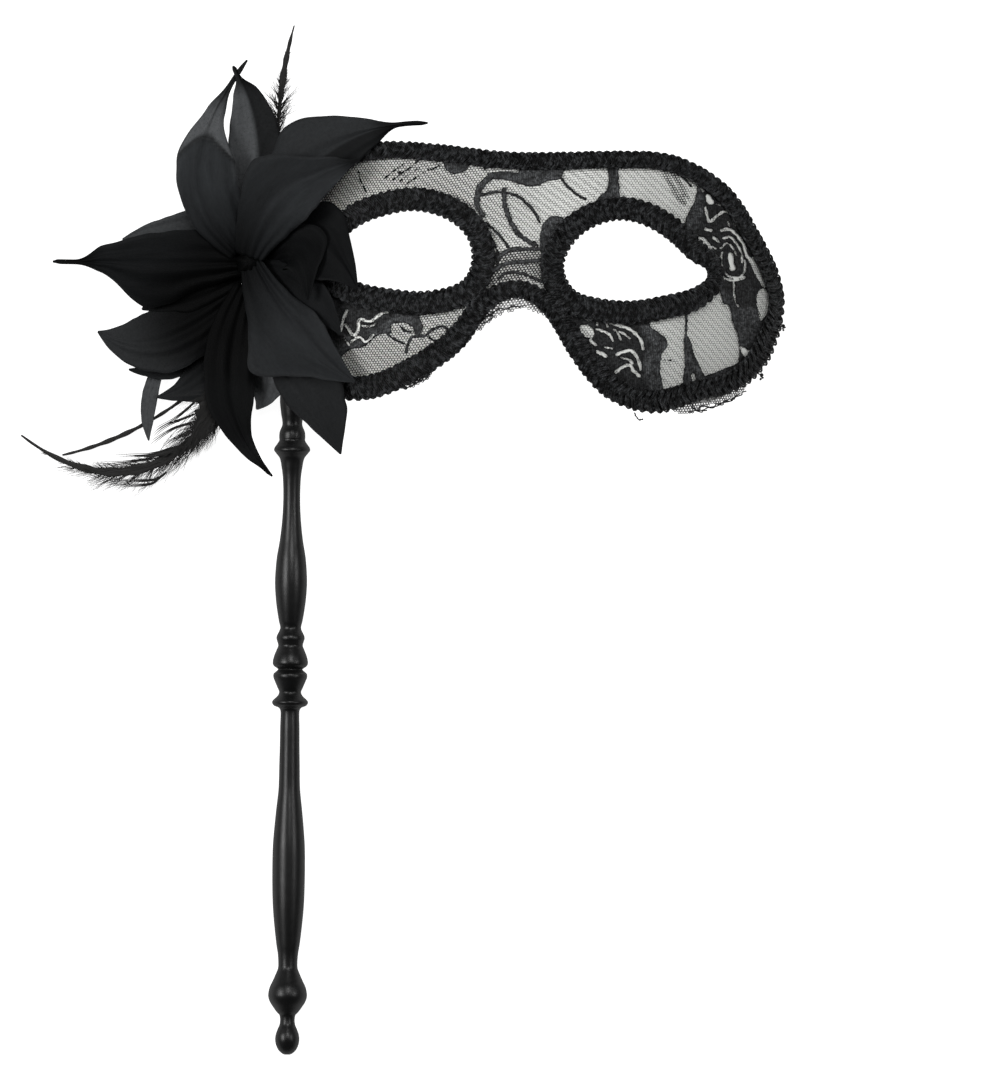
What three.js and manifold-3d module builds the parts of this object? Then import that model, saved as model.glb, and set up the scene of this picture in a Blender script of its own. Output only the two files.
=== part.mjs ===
// Lace masquerade mask on a turned stick, lying face up. Millimetres, +Z up, +Y towards the brow.
// The work is laid out about the braid's apex over the nose and moved at the end, so that the
// origin is the middle of the underside of the whole object.

import * as THREE from 'three';
import { mergeVertices } from 'three/addons/utils/BufferGeometryUtils.js';
import Module from 'manifold-3d';

const wasm = await Module();
wasm.setup();

// Mask: a stiff shell bent round the face
const faceRadius = 108;
const browRadius = 220;
const browMiddle = 5;
const faceDepth = 49.8;
const noseRise = 6;
const noseHalfWidth = 13;
const shellThickness = 1.2;
const laceThickness = 0.35;
const layerGap = 0.3;
const maskTurn = THREE.MathUtils.degToRad(-2.3);

// Gimp braid round the rim and the eyes
const rimBraidWidth = 6.2;
const eyeBraidWidth = 7.4;
const braidThickness = 2.2;
const braidOverhang = 1.6;
const rimSteps = 78;
const eyeSteps = 28;

// Stick, turned from one profile and lying on its largest ball
const ballRadius = 6.7;
const stickLean = THREE.MathUtils.degToRad(-0.48);
const stickX = -76.4;
const stickSides = 16;

// Flower and feathers
const heart = new THREE.Vector2(-90.8, 8.2);
const petalThickness = 0.5;
const featherThickness = 0.7;

// Outer edge of the rim braid, seen from the front, anticlockwise from the nose
const rimPoints = [
  [0, -3.7], [8.5, -8.5], [20.7, -24.7], [31.4, -35.8], [46.9, -40.8], [62.1, -39.2], [72.2, -36.2],
  [82.7, -27], [89, -13.8], [91.1, -1.8], [88.1, 9.3], [80.8, 22.3], [72.1, 34.9], [62.3, 42.1],
  [49.5, 46.9], [31.5, 47], [12.8, 45.8], [-6, 45.2], [-28, 46.9], [-49, 47], [-65.7, 41.9],
  [-76.5, 32], [-86, 15.3], [-90.9, 0.8], [-85.7, -18.4], [-73.5, -33.9], [-56.9, -40.1],
  [-45, -38.7], [-35, -33.9], [-25, -27.7], [-16.2, -20], [-8.8, -8.9],
];

// Edge of each eye opening, from its inner corner over the top to its pointed outer corner
const rightEyePoints = [
  [15.9, 6.8], [17.2, 12.3], [21.1, 17.9], [27, 21.8], [34.8, 23.7], [42.7, 22.1], [51, 17.4],
  [58.1, 11.2], [64.5, 7.4], [59.8, 2.6], [50.4, -0.5], [38.6, -2.9], [27, -2.3], [19.7, -0.1],
];
const leftEyePoints = [
  [-16, 8.9], [-18, 16], [-24, 21.2], [-31.6, 23.7], [-37.7, 24], [-45.8, 22.1], [-53.2, 19],
  [-60.1, 13.2], [-65.3, 7.2], [-60.3, 2.7], [-52.4, -0.6], [-43.5, -1.9], [-32.9, -2.5],
  [-23.1, -0.6], [-18.1, 2.3],
];

function faceHeight(x, y) {
  const across = faceRadius - Math.sqrt(faceRadius * faceRadius - x * x);
  const along = (y - browMiddle) ** 2 / (2 * browRadius);
  const nose = noseRise * Math.exp(-((x / noseHalfWidth) ** 2)) * THREE.MathUtils.clamp((35 - y) / 45, 0, 1);
  const side = Math.abs(x);
  const socket = 3 * Math.exp(-(((side - 40) / 24) ** 2) - ((y - 11) / 16) ** 2);
  const cheek = 2.5 * Math.exp(-(((side - 47) / 22) ** 2) - ((y + 24) / 14) ** 2);
  return faceDepth - across - along + nose - socket + cheek;
}

function faceNormal(x, y) {
  const step = 0.5;
  const slopeX = (faceHeight(x + step, y) - faceHeight(x - step, y)) / (2 * step);
  const slopeY = (faceHeight(x, y + step) - faceHeight(x, y - step)) / (2 * step);
  return new THREE.Vector3(-slopeX, -slopeY, 1).normalize();
}

// The point of the face over (x, y), moved outwards by lift
function facePoint(x, y, lift) {
  return new THREE.Vector3(x, y, faceHeight(x, y)).addScaledVector(faceNormal(x, y), lift);
}

// A closed smooth loop through the points, moved sideways: positive away from its inside
function loop(points, steps, outwards) {
  const curve = new THREE.CatmullRomCurve3(points.map(([x, y]) => new THREE.Vector3(x, y, 0)), true, 'centripetal');
  const spaced = curve.getSpacedPoints(steps).slice(0, steps);
  const turn = THREE.ShapeUtils.isClockWise(spaced) ? -1 : 1;
  return spaced.map((point, i) => {
    const ahead = spaced[(i + 1) % steps];
    const behind = spaced[(i + steps - 1) % steps];
    const along = new THREE.Vector2(ahead.x - behind.x, ahead.y - behind.y).normalize();
    return new THREE.Vector2(point.x + turn * outwards * along.y, point.y - turn * outwards * along.x);
  });
}

function geometryOf(vertices, triangles) {
  const geometry = new THREE.BufferGeometry();
  geometry.setAttribute('position', new THREE.Float32BufferAttribute(vertices.flatMap((v) => v.toArray()), 3));
  geometry.setIndex(triangles.flat());
  geometry.computeVertexNormals();
  return geometry;
}

// A sheet given as a grid of points, thickened both ways about it and closed along its edges
function thickSheet(grid, normals, below, above) {
  const rows = grid.length;
  const columns = grid[0].length;
  const place = (distance) => grid.flatMap((row, i) =>
    row.map((point, j) => point.clone().addScaledVector(normals[i][j], distance)));
  const vertices = [...place(above), ...place(-below)];
  const top = (i, j) => i * columns + j;
  const under = (i, j) => rows * columns + top(i, j);
  const triangles = [];
  const quad = (a, b, c, d) => triangles.push([a, b, c], [a, c, d]);
  for (let i = 0; i < rows - 1; i += 1) {
    for (let j = 0; j < columns - 1; j += 1) {
      quad(top(i, j), top(i + 1, j), top(i + 1, j + 1), top(i, j + 1));
      quad(under(i, j), under(i, j + 1), under(i + 1, j + 1), under(i + 1, j));
    }
    quad(top(i, 0), under(i, 0), under(i + 1, 0), top(i + 1, 0));
    quad(top(i, columns - 1), top(i + 1, columns - 1), under(i + 1, columns - 1), under(i, columns - 1));
  }
  for (let j = 0; j < columns - 1; j += 1) {
    quad(top(0, j), top(0, j + 1), under(0, j + 1), under(0, j));
    quad(top(rows - 1, j), under(rows - 1, j), under(rows - 1, j + 1), top(rows - 1, j + 1));
  }
  return geometryOf(vertices, triangles);
}

function solidOf(geometry) {
  const bare = geometry.clone();
  bare.deleteAttribute('normal');
  bare.deleteAttribute('uv');
  const merged = mergeVertices(bare, 1e-4);
  return new wasm.Manifold(new wasm.Mesh({
    numProp: 3,
    vertProperties: new Float32Array(merged.getAttribute('position').array),
    triVerts: new Uint32Array(merged.getIndex().array),
  }));
}

function geometryOfSolid(solid) {
  const mesh = solid.getMesh();
  const geometry = new THREE.BufferGeometry();
  geometry.setAttribute('position', new THREE.BufferAttribute(mesh.vertProperties, 3));
  geometry.setIndex(new THREE.BufferAttribute(mesh.triVerts, 1));
  geometry.computeVertexNormals();
  return geometry;
}

// A layer of the mask between two distances from the face, cut to the rim and the eyes
function faceLayer(inner, outer) {
  const acrossSteps = 28;
  const alongSteps = 11;
  const reach = THREE.MathUtils.degToRad(60.5);
  const grid = [];
  const normals = [];
  for (let i = 0; i <= acrossSteps; i += 1) {
    const x = faceRadius * Math.sin(reach * (2 * i / acrossSteps - 1));
    const ys = Array.from({ length: alongSteps + 1 }, (_, j) => THREE.MathUtils.lerp(-46, 52, j / alongSteps));
    grid.push(ys.map((y) => new THREE.Vector3(x, y, faceHeight(x, y))));
    normals.push(ys.map((y) => faceNormal(x, y)));
  }
  const outline = new THREE.Shape(loop(rimPoints, rimSteps, -braidOverhang));
  for (const eye of [rightEyePoints, leftEyePoints]) {
    outline.holes.push(new THREE.Path(loop(eye, eyeSteps, braidOverhang)));
  }
  const cutter = new THREE.ExtrudeGeometry(outline, { depth: 120, bevelEnabled: false });
  cutter.translate(0, 0, -40);
  return geometryOfSolid(solidOf(thickSheet(grid, normals, -inner, outer)).intersect(solidOf(cutter)));
}

// Braid laid flat on the lace along a closed loop, of rounded section
function braid(points, steps, outwards, width) {
  const lift = layerGap + laceThickness + layerGap + braidThickness / 2;
  const centres = loop(points, steps, outwards).map(({ x, y }) => facePoint(x, y, lift));
  const ups = loop(points, steps, outwards).map(({ x, y }) => faceNormal(x, y));
  const section = [[1, 0], [0.6, 0.9], [-0.6, 0.9], [-1, 0], [-0.6, -0.9], [0.6, -0.9]];
  const vertices = centres.flatMap((centre, i) => {
    const along = centres[(i + 1) % steps].clone().sub(centres[(i + steps - 1) % steps]).normalize();
    const aside = along.clone().cross(ups[i]).normalize();
    return section.map(([a, b]) => centre.clone()
      .addScaledVector(aside, a * width / 2).addScaledVector(ups[i], b * braidThickness / 2));
  });
  const sides = section.length;
  const triangles = [];
  for (let i = 0; i < steps; i += 1) {
    for (let k = 0; k < sides; k += 1) {
      const here = i * sides;
      const next = ((i + 1) % steps) * sides;
      const other = (k + 1) % sides;
      triangles.push([here + k, next + k, next + other], [here + k, next + other, here + other]);
    }
  }
  return geometryOf(vertices, triangles);
}

// Turned profile as [distance below the nose, radius]; the upper part runs on behind the mask
const upperStick = [
  [-24, 3.6], [-22, 4.2], [-8, 5], [8, 4.6], [20, 3.4], [28, 3.1], [34, 4], [39, 4.3], [43, 3.9],
  [47, 3], [48.5, 3.2], [50.6, 4.1], [52.6, 3.3], [53.6, 3.5], [55.6, 6.1], [57.6, 4.4], [62, 3.1],
  [71, 2.75], [80, 3.1], [91, 4.6], [100, 5.2], [106, 4.6], [113, 3.5], [117, 3.1], [118.2, 4.2],
  [120, 4.8], [121.8, 4], [123, 3.6], [127, 5.2], [129.6, 6.1], [130.3, 5.7],
];
const lowerStick = [
  [130.9, 5.5], [132, 5.8], [134.5, 4.6], [138, 3.1], [139.3, 3.4], [141.8, 6.3], [144, 4.2], [146, 3.15],
  [171, 3.3], [184, 4.3], [198, 5.5], [211, 4.6], [224, 3.6], [231, 3.15], [233.4, 3.3], [235, 4.4],
  [237.5, 6], [241, 6.7], [244.5, 6], [247, 4.2], [250, 2.3], [252, 2.6], [254, 3.7], [256.7, 4.1],
  [259.5, 3.4], [261.7, 1.4],
];

function turned(profile) {
  const [first] = profile;
  const last = profile.at(-1);
  const points = [[first[0], 0], ...profile, [last[0], 0]].map(([y, r]) => new THREE.Vector2(r, -y));
  return new THREE.LatheGeometry(points.reverse(), stickSides);
}

// A leaf-like piece: its middle line runs through base, middle and tip, and left and right are its
// half widths at a quarter, a half and three quarters of the way. Tilt is the rise towards its left.
function leafSurface({ base, middle, tip, left, right, tilt = 0, cup = 0 }, rows, columns) {
  const [start, centre, end] = [base, middle, tip].map((p) => new THREE.Vector3(p[0], p[1], p[2]));
  const handle = centre.clone().multiplyScalar(2).addScaledVector(start.clone().add(end), -0.5);
  const curve = new THREE.QuadraticBezierCurve3(start, handle, end);
  const widthCurve = (half) => new THREE.CatmullRomCurve3(
    [0.55 * half[0], ...half, 0.25].map((w, i) => new THREE.Vector3(i, w, 0)),
  );
  const leftCurve = widthCurve(left);
  const rightCurve = widthCurve(right);
  const grid = [];
  for (let i = 0; i < rows; i += 1) {
    const u = i / (rows - 1);
    const point = curve.getPoint(u);
    const along = curve.getTangent(u);
    const aside = new THREE.Vector3(-along.y, along.x, 0).normalize();
    aside.z = tilt;
    const [wl, wr] = [leftCurve.getPoint(u).y, rightCurve.getPoint(u).y];
    const row = [];
    for (let j = 0; j < columns; j += 1) {
      const v = 2 * j / (columns - 1) - 1;
      const offset = v < 0 ? v * wr : v * wl;
      const placed = point.clone().addScaledVector(aside, offset);
      placed.z += cup * (v * v - 0.3) * Math.sin(Math.PI * Math.min(1, u + 0.1));
      row.push(placed);
    }
    grid.push(row);
  }
  return grid;
}

function gridNormals(grid) {
  const last = grid.length - 1;
  const end = grid[0].length - 1;
  return grid.map((row, i) => row.map((_, j) => {
    const along = grid[Math.min(i + 1, last)][j].clone().sub(grid[Math.max(i - 1, 0)][j]);
    const across = row[Math.min(j + 1, end)].clone().sub(row[Math.max(j - 1, 0)]);
    return along.cross(across).normalize();
  }));
}

function leaf(shape, thickness, rows = 7, columns = 5) {
  const grid = leafSurface(shape, rows, columns);
  return thickSheet(grid, gridNormals(grid), thickness / 2, thickness / 2);
}

// Petals, placed about the heart of the flower with their height above the table
const petals = {
  petal_right_upper_front: {
    base: [0.7, 1.4, 22.5], middle: [13.6, 21, 38], tip: [38.8, 33.3, 46],
    left: [11, 15.8, 7.6], right: [7.2, 8.5, 5.8], tilt: -0.3, cup: -2,
  },
  petal_right_lower_front: {
    base: [0.3, 0.3, 20.5], middle: [15.6, -24.8, 35], tip: [35.9, -40.8, 43],
    left: [6.5, 9.9, 6.5], right: [9.2, 15.3, 7.5], tilt: 0.45, cup: -2,
  },
  petal_top_front: {
    base: [-3.4, 4, 18.5], middle: [-15.8, 33.3, 25], tip: [-4.8, 66, 24],
    left: [8.3, 8.7, 3.4], right: [8.3, 8.7, 3.2], tilt: -0.2, cup: -1.5,
  },
  petal_left_front: {
    base: [-1.5, 0.5, 15], middle: [-34, 0, 17], tip: [-67.3, 0.3, 12],
    left: [9, 15.6, 2.7], right: [10, 9.2, 3], tilt: -0.15, cup: -1.5,
  },
  petal_bottom_front: {
    base: [-1, -8, 11.5], middle: [-6.1, -45.2, 15], tip: [7.5, -72.8, 11],
    left: [8, 7.5, 2.4], right: [9, 9.2, 4.5], tilt: 0.1, cup: 1,
  },
  petal_left_lower: {
    base: [-3, -9, 8.5], middle: [-28.9, -26.5, 10.5], tip: [-52, -23.5, 8.5],
    left: [9, 11, 7.2], right: [9, 10.9, 7.8], tilt: 0.05, cup: -1,
  },
  petal_top_back: {
    base: [0, 7.5, 13], middle: [1.2, 41.5, 20], tip: [-5.8, 66.6, 28],
    left: [7, 7.6, 4.8], right: [7, 7.6, 4.2], tilt: -0.1, cup: 1,
  },
  petal_right_upper_back: {
    base: [5, 12.6, 17.5], middle: [28.9, 38.8, 34], tip: [60.5, 47, 46],
    left: [14, 10.5, 3], right: [8.5, 9, 4.4], tilt: -0.15, cup: -1,
  },
  petal_right_lower_back: {
    base: [4.1, -19.7, 19], middle: [17.5, -42.5, 28], tip: [30.9, -65.3, 26],
    left: [11, 13.5, 10.2], right: [6, 7.5, 4.3], tilt: 0.7, cup: 0,
  },
  petal_right_middle: {
    base: [2.7, 0, 10.5], middle: [22.1, 4.1, 31.8], tip: [36.4, -9.5, 41],
    left: [8, 17, 7], right: [8, 12, 8], tilt: 0, cup: 0,
  },
  petal_right_inner: {
    base: [6.8, 0, 19], middle: [16, 2.4, 35], tip: [19.7, -12.9, 38.5],
    left: [6, 12, 5], right: [5, 7, 4], tilt: 0, cup: 0,
  },
  petal_left_back: {
    base: [-8.5, 9.2, 13], middle: [-27.2, 10.2, 13], tip: [-42.2, 7.5, 12],
    left: [5, 4, 1.5], right: [5, 5.4, 4], tilt: -0.1, cup: 0,
  },
  petal_bottom_left_back: {
    base: [-8.5, -28.2, 5.5], middle: [-18.7, -39.4, 6], tip: [-32, -45.9, 5.2],
    left: [6, 6, 2], right: [6, 5, 2], tilt: 0, cup: 0,
  },
  petal_lower_left_tip: {
    base: [-14, -30, 4], middle: [-28.9, -36, 5], tip: [-41.5, -36.4, 5],
    left: [4, 4, 2], right: [4, 4, 2], tilt: 0, cup: 0,
  },
  petal_hanging_strip: {
    base: [-25.5, -33.3, 3.2], middle: [-34.5, -45.5, 3.6], tip: [-34.7, -60.5, 4.4],
    left: [1.8, 1.9, 1.4], right: [1.8, 1.9, 1.4], tilt: 0, cup: 0,
  },
  petal_bottom_small: {
    base: [4, -30, 11], middle: [5.8, -41.8, 11], tip: [2, -50, 10],
    left: [3.5, 4, 2.5], right: [3.5, 4, 2.5], tilt: 0, cup: 0,
  },
};

const feathers = {
  feather_long: {
    base: [-10, -52, 6], middle: [-43, -72.5, 4], tip: [-78.2, -58.8, 3],
    left: [1.5, 1.5, 0.6], right: [2.5, 3, 0.6],
  },
  feather_thin: {
    base: [-20.4, -46.9, 2.6], middle: [-43.5, -57, 1.8], tip: [-64.6, -66.3, 1.6],
    left: [0.8, 0.8, 0.5], right: [0.8, 0.8, 0.5],
  },
  feather_short: {
    base: [-8, -52, 9], middle: [-25, -63.5, 7], tip: [-40, -65.6, 5.5],
    left: [1.4, 1.2, 0.6], right: [1.4, 1.2, 0.6],
  },
  feather_fluff: {
    base: [-5, -38, 11], middle: [-13, -50, 11], tip: [-19.5, -61, 9.5],
    left: [3.5, 4, 2.5], right: [4, 4.5, 2.5],
  },
  feather_top: {
    base: [9.5, 34, 14], middle: [10.5, 58, 16], tip: [15, 80.6, 18],
    left: [2, 2.6, 0.8], right: [2, 3, 0.8],
  },
};

function piece(name, geometry, colour, roughness, metalness = 0) {
  const mesh = new THREE.Mesh(geometry, new THREE.MeshStandardMaterial({ color: colour, roughness, metalness }));
  mesh.name = name;
  return mesh;
}

const mask = new THREE.Group();
mask.rotation.z = maskTurn;
const laceTop = layerGap + laceThickness;
mask.add(piece('mask_shell', faceLayer(-shellThickness, 0), 0xd8d8d2, 0.8));
mask.add(piece('lace_cover', faceLayer(layerGap, laceTop), 0x26262a, 0.9));
mask.add(piece('rim_braid', braid(rimPoints, rimSteps, -rimBraidWidth / 2, rimBraidWidth), 0x0e0e10, 0.75));
mask.add(piece('right_eye_braid', braid(rightEyePoints, eyeSteps, eyeBraidWidth / 2, eyeBraidWidth), 0x0e0e10, 0.75));
mask.add(piece('left_eye_braid', braid(leftEyePoints, eyeSteps, eyeBraidWidth / 2, eyeBraidWidth), 0x0e0e10, 0.75));
mask.updateMatrixWorld(true);
mask.position.z = -new THREE.Box3().setFromObject(mask, true).min.z;

const stick = new THREE.Group();
stick.rotation.z = stickLean;
stick.position.set(stickX, 0, ballRadius);
stick.add(piece('stick_upper', turned(upperStick), 0x0c0c0d, 0.25));
stick.add(piece('stick_lower', turned(lowerStick), 0x0c0c0d, 0.25));

const flower = new THREE.Group();
flower.position.set(heart.x, heart.y, 0);
for (const [name, shape] of Object.entries(petals)) {
  flower.add(piece(name, leaf(shape, petalThickness), 0x151517, 0.7));
}
for (const [name, shape] of Object.entries(feathers)) {
  flower.add(piece(name, leaf(shape, featherThickness, 8, 3), 0x101012, 0.8));
}

const group = new THREE.Group();
group.add(mask, stick, flower);
group.updateMatrixWorld(true);
const bounds = new THREE.Box3().setFromObject(group, true);
group.position.set(-(bounds.min.x + bounds.max.x) / 2, -(bounds.min.y + bounds.max.y) / 2, -bounds.min.z);

export default group;
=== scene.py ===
# Lace masquerade mask on a turned stick, lying face up on a pale table.
# Shapes are worked out in millimetres about the braid's apex over the nose, the part's own layout,
# and go into their meshes in metres.

import bpy
import math
import numpy as np
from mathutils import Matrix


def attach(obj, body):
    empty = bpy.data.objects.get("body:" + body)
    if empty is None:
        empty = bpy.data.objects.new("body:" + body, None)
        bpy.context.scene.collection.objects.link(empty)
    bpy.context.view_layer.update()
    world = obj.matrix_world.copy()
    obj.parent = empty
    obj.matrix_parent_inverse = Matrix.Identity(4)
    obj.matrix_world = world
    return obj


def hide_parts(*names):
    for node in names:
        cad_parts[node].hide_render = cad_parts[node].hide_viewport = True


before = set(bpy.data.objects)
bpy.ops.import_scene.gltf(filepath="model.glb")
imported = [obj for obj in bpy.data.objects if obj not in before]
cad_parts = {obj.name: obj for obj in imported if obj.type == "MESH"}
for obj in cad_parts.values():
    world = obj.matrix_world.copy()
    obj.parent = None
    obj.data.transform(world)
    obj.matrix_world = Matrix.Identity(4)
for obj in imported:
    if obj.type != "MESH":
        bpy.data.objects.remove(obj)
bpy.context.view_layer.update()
print("stage: frame loaded")

layout = {
    "shift": (38.9934, 86.4023),  # from the layout's origin to the row frame's
    "pixel": 0.34,                # millimetres in one pixel of the photograph
    "apex": (517, 286),           # the pixel of the layout's origin
    "maskTurn": -2.3,             # degrees about Z
    "maskLift": 0.126,
}


# Array helpers. Points are rows of millimetres.

skyward = np.array([0.0, 0.0, 1.0])
northward = np.array([0.0, 1.0, 0.0])


def toRow(points):
    # Adds the layout's shift and leaves the height as it is.
    return points + np.array([layout["shift"][0], layout["shift"][1], 0.0])


def turned(points, degrees):
    # A turn about Z: x cos - y sin, x sin + y cos.
    angle = math.radians(degrees)
    out = np.array(points, float)
    x = out[..., 0].copy()
    y = out[..., 1].copy()
    out[..., 0] = x * math.cos(angle) - y * math.sin(angle)
    out[..., 1] = x * math.sin(angle) + y * math.cos(angle)
    return out


def maskToRow(points):
    # The mask's own frame is turned a little and lifted onto the table.
    return toRow(turned(points, layout["maskTurn"]) + np.array([0.0, 0.0, layout["maskLift"]]))


def fromPhoto(pixels):
    # A pixel becomes millimetres in the mask's own frame: minus the apex, times the pixel's size,
    # y upwards, and turned back.
    p = np.array(pixels, float)
    apex = layout["apex"]
    flat = np.stack([(p[:, 0] - apex[0]), (apex[1] - p[:, 1])], axis=1) * layout["pixel"]
    return turned(flat, -layout["maskTurn"])


def unit(vectors):
    # Each vector divided by its length.
    return vectors / np.maximum(np.linalg.norm(vectors, axis=-1, keepdims=True), 1e-9)


def softStep(value, low, high):
    # 0 up to low, 1 from high, and 3t^2 - 2t^3 in between.
    t = np.clip((value - low) / (high - low), 0, 1)
    return t * t * (3 - 2 * t)


def throughPoints(points, at, closed=False):
    # Centripetal Catmull-Rom: between two points a cubic whose end slopes weigh the neighbouring
    # chords by the root of their length. at runs from 0 to 1 over all the points.
    p = np.asarray(points, float)
    spans = len(p) if closed else len(p) - 1
    s = np.clip(np.asarray(at, float), 0, 1) * spans
    i = np.minimum(s.astype(int), spans - 1)
    f = (s - i)[:, None]
    if closed:
        q = [p[(i + k) % len(p)] for k in (-1, 0, 1, 2)]
    else:
        longer = np.vstack([2 * p[0] - p[1], p, 2 * p[-1] - p[-2]])
        q = [longer[i + k] for k in range(4)]
    d = [np.maximum(np.linalg.norm(q[k + 1] - q[k], axis=1), 1e-6)[:, None] ** 0.5 for k in range(3)]
    m1 = ((q[1] - q[0]) / d[0] - (q[2] - q[0]) / (d[0] + d[1]) + (q[2] - q[1]) / d[1]) * d[1]
    m2 = ((q[2] - q[1]) / d[1] - (q[3] - q[1]) / (d[1] + d[2]) + (q[3] - q[2]) / d[2]) * d[1]
    cubic = (2 * q[1] - 2 * q[2] + m1 + m2) * f ** 3
    square = (-3 * q[1] + 3 * q[2] - 2 * m1 - m2) * f ** 2
    return cubic + square + m1 * f + q[1]


def evenly(points, count, closed=False):
    # Resamples a line at equal steps of its length.
    line = np.vstack([points, points[:1]]) if closed else points
    run = np.concatenate([[0], np.cumsum(np.linalg.norm(np.diff(line, axis=0), axis=1))])
    want = np.linspace(0, run[-1], count + 1)[:-1] if closed else np.linspace(0, run[-1], count)
    return np.stack([np.interp(want, run, line[:, k]) for k in range(line.shape[1])], axis=1)


def around(line, closed):
    # Direction along a line, from the point before to the point after.
    if closed:
        return unit(np.roll(line, -1, axis=0) - np.roll(line, 1, axis=0))
    return unit(np.gradient(line, axis=0))


def loopOf(points, count, outwards=0.0):
    # A closed smooth loop through the points, moved sideways by outwards, away from its inside.
    fine = evenly(throughPoints(points, np.arange(1600) / 1600, True), count, True)
    along = around(fine, True)
    area = np.sum(fine[:, 0] * np.roll(fine[:, 1], -1) - np.roll(fine[:, 0], -1) * fine[:, 1])
    side = np.sign(area) * np.broadcast_to(outwards, (count,))[:, None]
    return fine + side * np.stack([along[:, 1], -along[:, 0]], axis=1)


def gridFaces(rows, columns, closedRows=False, closedColumns=False):
    # Four corners a cell, row by row, joined round where a direction is closed.
    r = np.arange(rows if closedRows else rows - 1)
    c = np.arange(columns if closedColumns else columns - 1)
    i, j = np.meshgrid(r, c, indexing="ij")
    i2 = (i + 1) % rows
    j2 = (j + 1) % columns
    cells = np.stack([i * columns + j, i2 * columns + j, i2 * columns + j2, i * columns + j2], axis=-1)
    return cells.reshape(-1, 4)


def tube(line, up, wide, high, sides, closed=False):
    # An oval section, wide across and high upwards, carried along a line. The oval's first corner
    # is underneath, where its seam doesn't show.
    along = around(line, closed)
    across = unit(np.cross(along, up))
    upright = np.cross(across, along)
    a = np.arange(sides) / sides * 2 * np.pi
    wide = np.broadcast_to(wide, (len(line),))[:, None, None]
    high = np.broadcast_to(high, (len(line),))[:, None, None]
    ring = (-np.sin(a))[None, :, None] * wide * across[:, None, :]
    ring = ring - np.cos(a)[None, :, None] * high * upright[:, None, :]
    points = (line[:, None, :] + ring).reshape(-1, 3)
    faces = gridFaces(len(line), sides, closed, True)[:, ::-1].tolist()
    if not closed:
        first = (len(line) - 1) * sides
        faces.append(list(range(sides))[::-1])
        faces.append(list(range(first, first + sides)))
    run = np.concatenate([[0], np.cumsum(np.linalg.norm(np.diff(line, axis=0), axis=1))])
    girth = np.pi * (wide + high).mean()
    uv = np.stack(np.broadcast_arrays(run[:, None], (np.arange(sides) / sides * girth)[None, :]), axis=-1)
    return points, faces, uv.reshape(-1, 2)


def joined(parts):
    # Several shapes as one: points one after the other, and each shape's faces counted on.
    points, faces, uvs, start = [], [], [], 0
    for p, f, uv in parts:
        points.append(p)
        uvs.append(uv)
        faces.extend([[start + k for k in face] for face in f])
        start += len(p)
    return np.vstack(points), faces, np.vstack(uvs)


def makePiece(name, points, faces, material, nodes=(), uv=None, fields=None):
    # A mesh from millimetres, with its flat coordinates and fields, which rides on the root body
    # and stands for the named nodes.
    mesh = bpy.data.meshes.new(name)
    mesh.from_pydata((np.asarray(points) * 0.001).tolist(), [], faces)
    corners = np.empty(len(mesh.loops), np.int32)
    mesh.loops.foreach_get("vertex_index", corners)
    if uv is not None:
        layer = mesh.uv_layers.new(name="cloth")
        layer.data.foreach_set("uv", np.asarray(uv, np.float32)[corners].ravel())
    for field, values in (fields or {}).items():
        attribute = mesh.attributes.new(field, "FLOAT", "POINT")
        attribute.data.foreach_set("value", np.asarray(values, np.float32).ravel())
    mesh.shade_smooth()
    mesh.update()
    piece = bpy.data.objects.new(name, mesh)
    bpy.context.scene.collection.objects.link(piece)
    mesh.materials.append(material)
    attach(piece, "root")
    if nodes:
        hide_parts(*nodes)
    return piece


def thicken(piece, thickness, offset):
    # Gives a sheet its thickness, to both sides for an offset of 0 and underneath for -1.
    solid = piece.modifiers.new("thickness", "SOLIDIFY")
    solid.thickness = thickness * 0.001
    solid.offset = offset
    solid.use_even_offset = True


def pieceName(node):
    # petal_left_front becomes petalLeftFront.
    first, *rest = node.split("_")
    return first + "".join(word.capitalize() for word in rest)


# Material helpers

def addNode(tree, kind, values=None, **settings):
    # A node with its settings, and values for its sockets.
    made = tree.nodes.new(kind)
    for key, value in settings.items():
        setattr(made, key, value)
    for key, value in (values or {}).items():
        made.inputs[key].default_value = value
    return made


def newFinish(name, values):
    # A material with one principled shader, whose sockets take the values.
    finish = bpy.data.materials.new(name)
    finish.use_nodes = True
    tree = finish.node_tree
    tree.nodes.clear()
    shader = addNode(tree, "ShaderNodeBsdfPrincipled", values)
    output = addNode(tree, "ShaderNodeOutputMaterial")
    tree.links.new(shader.outputs["BSDF"], output.inputs["Surface"])
    return finish, tree, shader


def feed(tree, socket, value):
    # A socket takes an output by a link, and anything else as its own value.
    if isinstance(value, bpy.types.NodeSocket):
        tree.links.new(value, socket)
    else:
        socket.default_value = value


def mixed(tree, factor, first, second):
    # A mix of two colours, each a colour or an output.
    made = addNode(tree, "ShaderNodeMix", data_type="RGBA")
    for place, value in ((0, factor), (6, first), (7, second)):
        feed(tree, made.inputs[place], value)
    return made.outputs[2]


def maths(tree, operation, first, second=0.0, clamp=False):
    # A sum or product of two values, each a number or an output, held to 0..1 by clamp.
    made = addNode(tree, "ShaderNodeMath", operation=operation, use_clamp=clamp)
    feed(tree, made.inputs[0], first)
    feed(tree, made.inputs[1], second)
    return made.outputs[0]


def painted(tree, field):
    # The values that a field was given when its piece was made.
    return addNode(tree, "ShaderNodeAttribute", attribute_name=field).outputs["Fac"]


def spread(tree, value, low, high):
    # Maps 0..1 onto low..high.
    made = addNode(tree, "ShaderNodeMapRange", {"To Min": low, "To Max": high})
    tree.links.new(value, made.inputs["Value"])
    return made.outputs["Result"]


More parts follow.
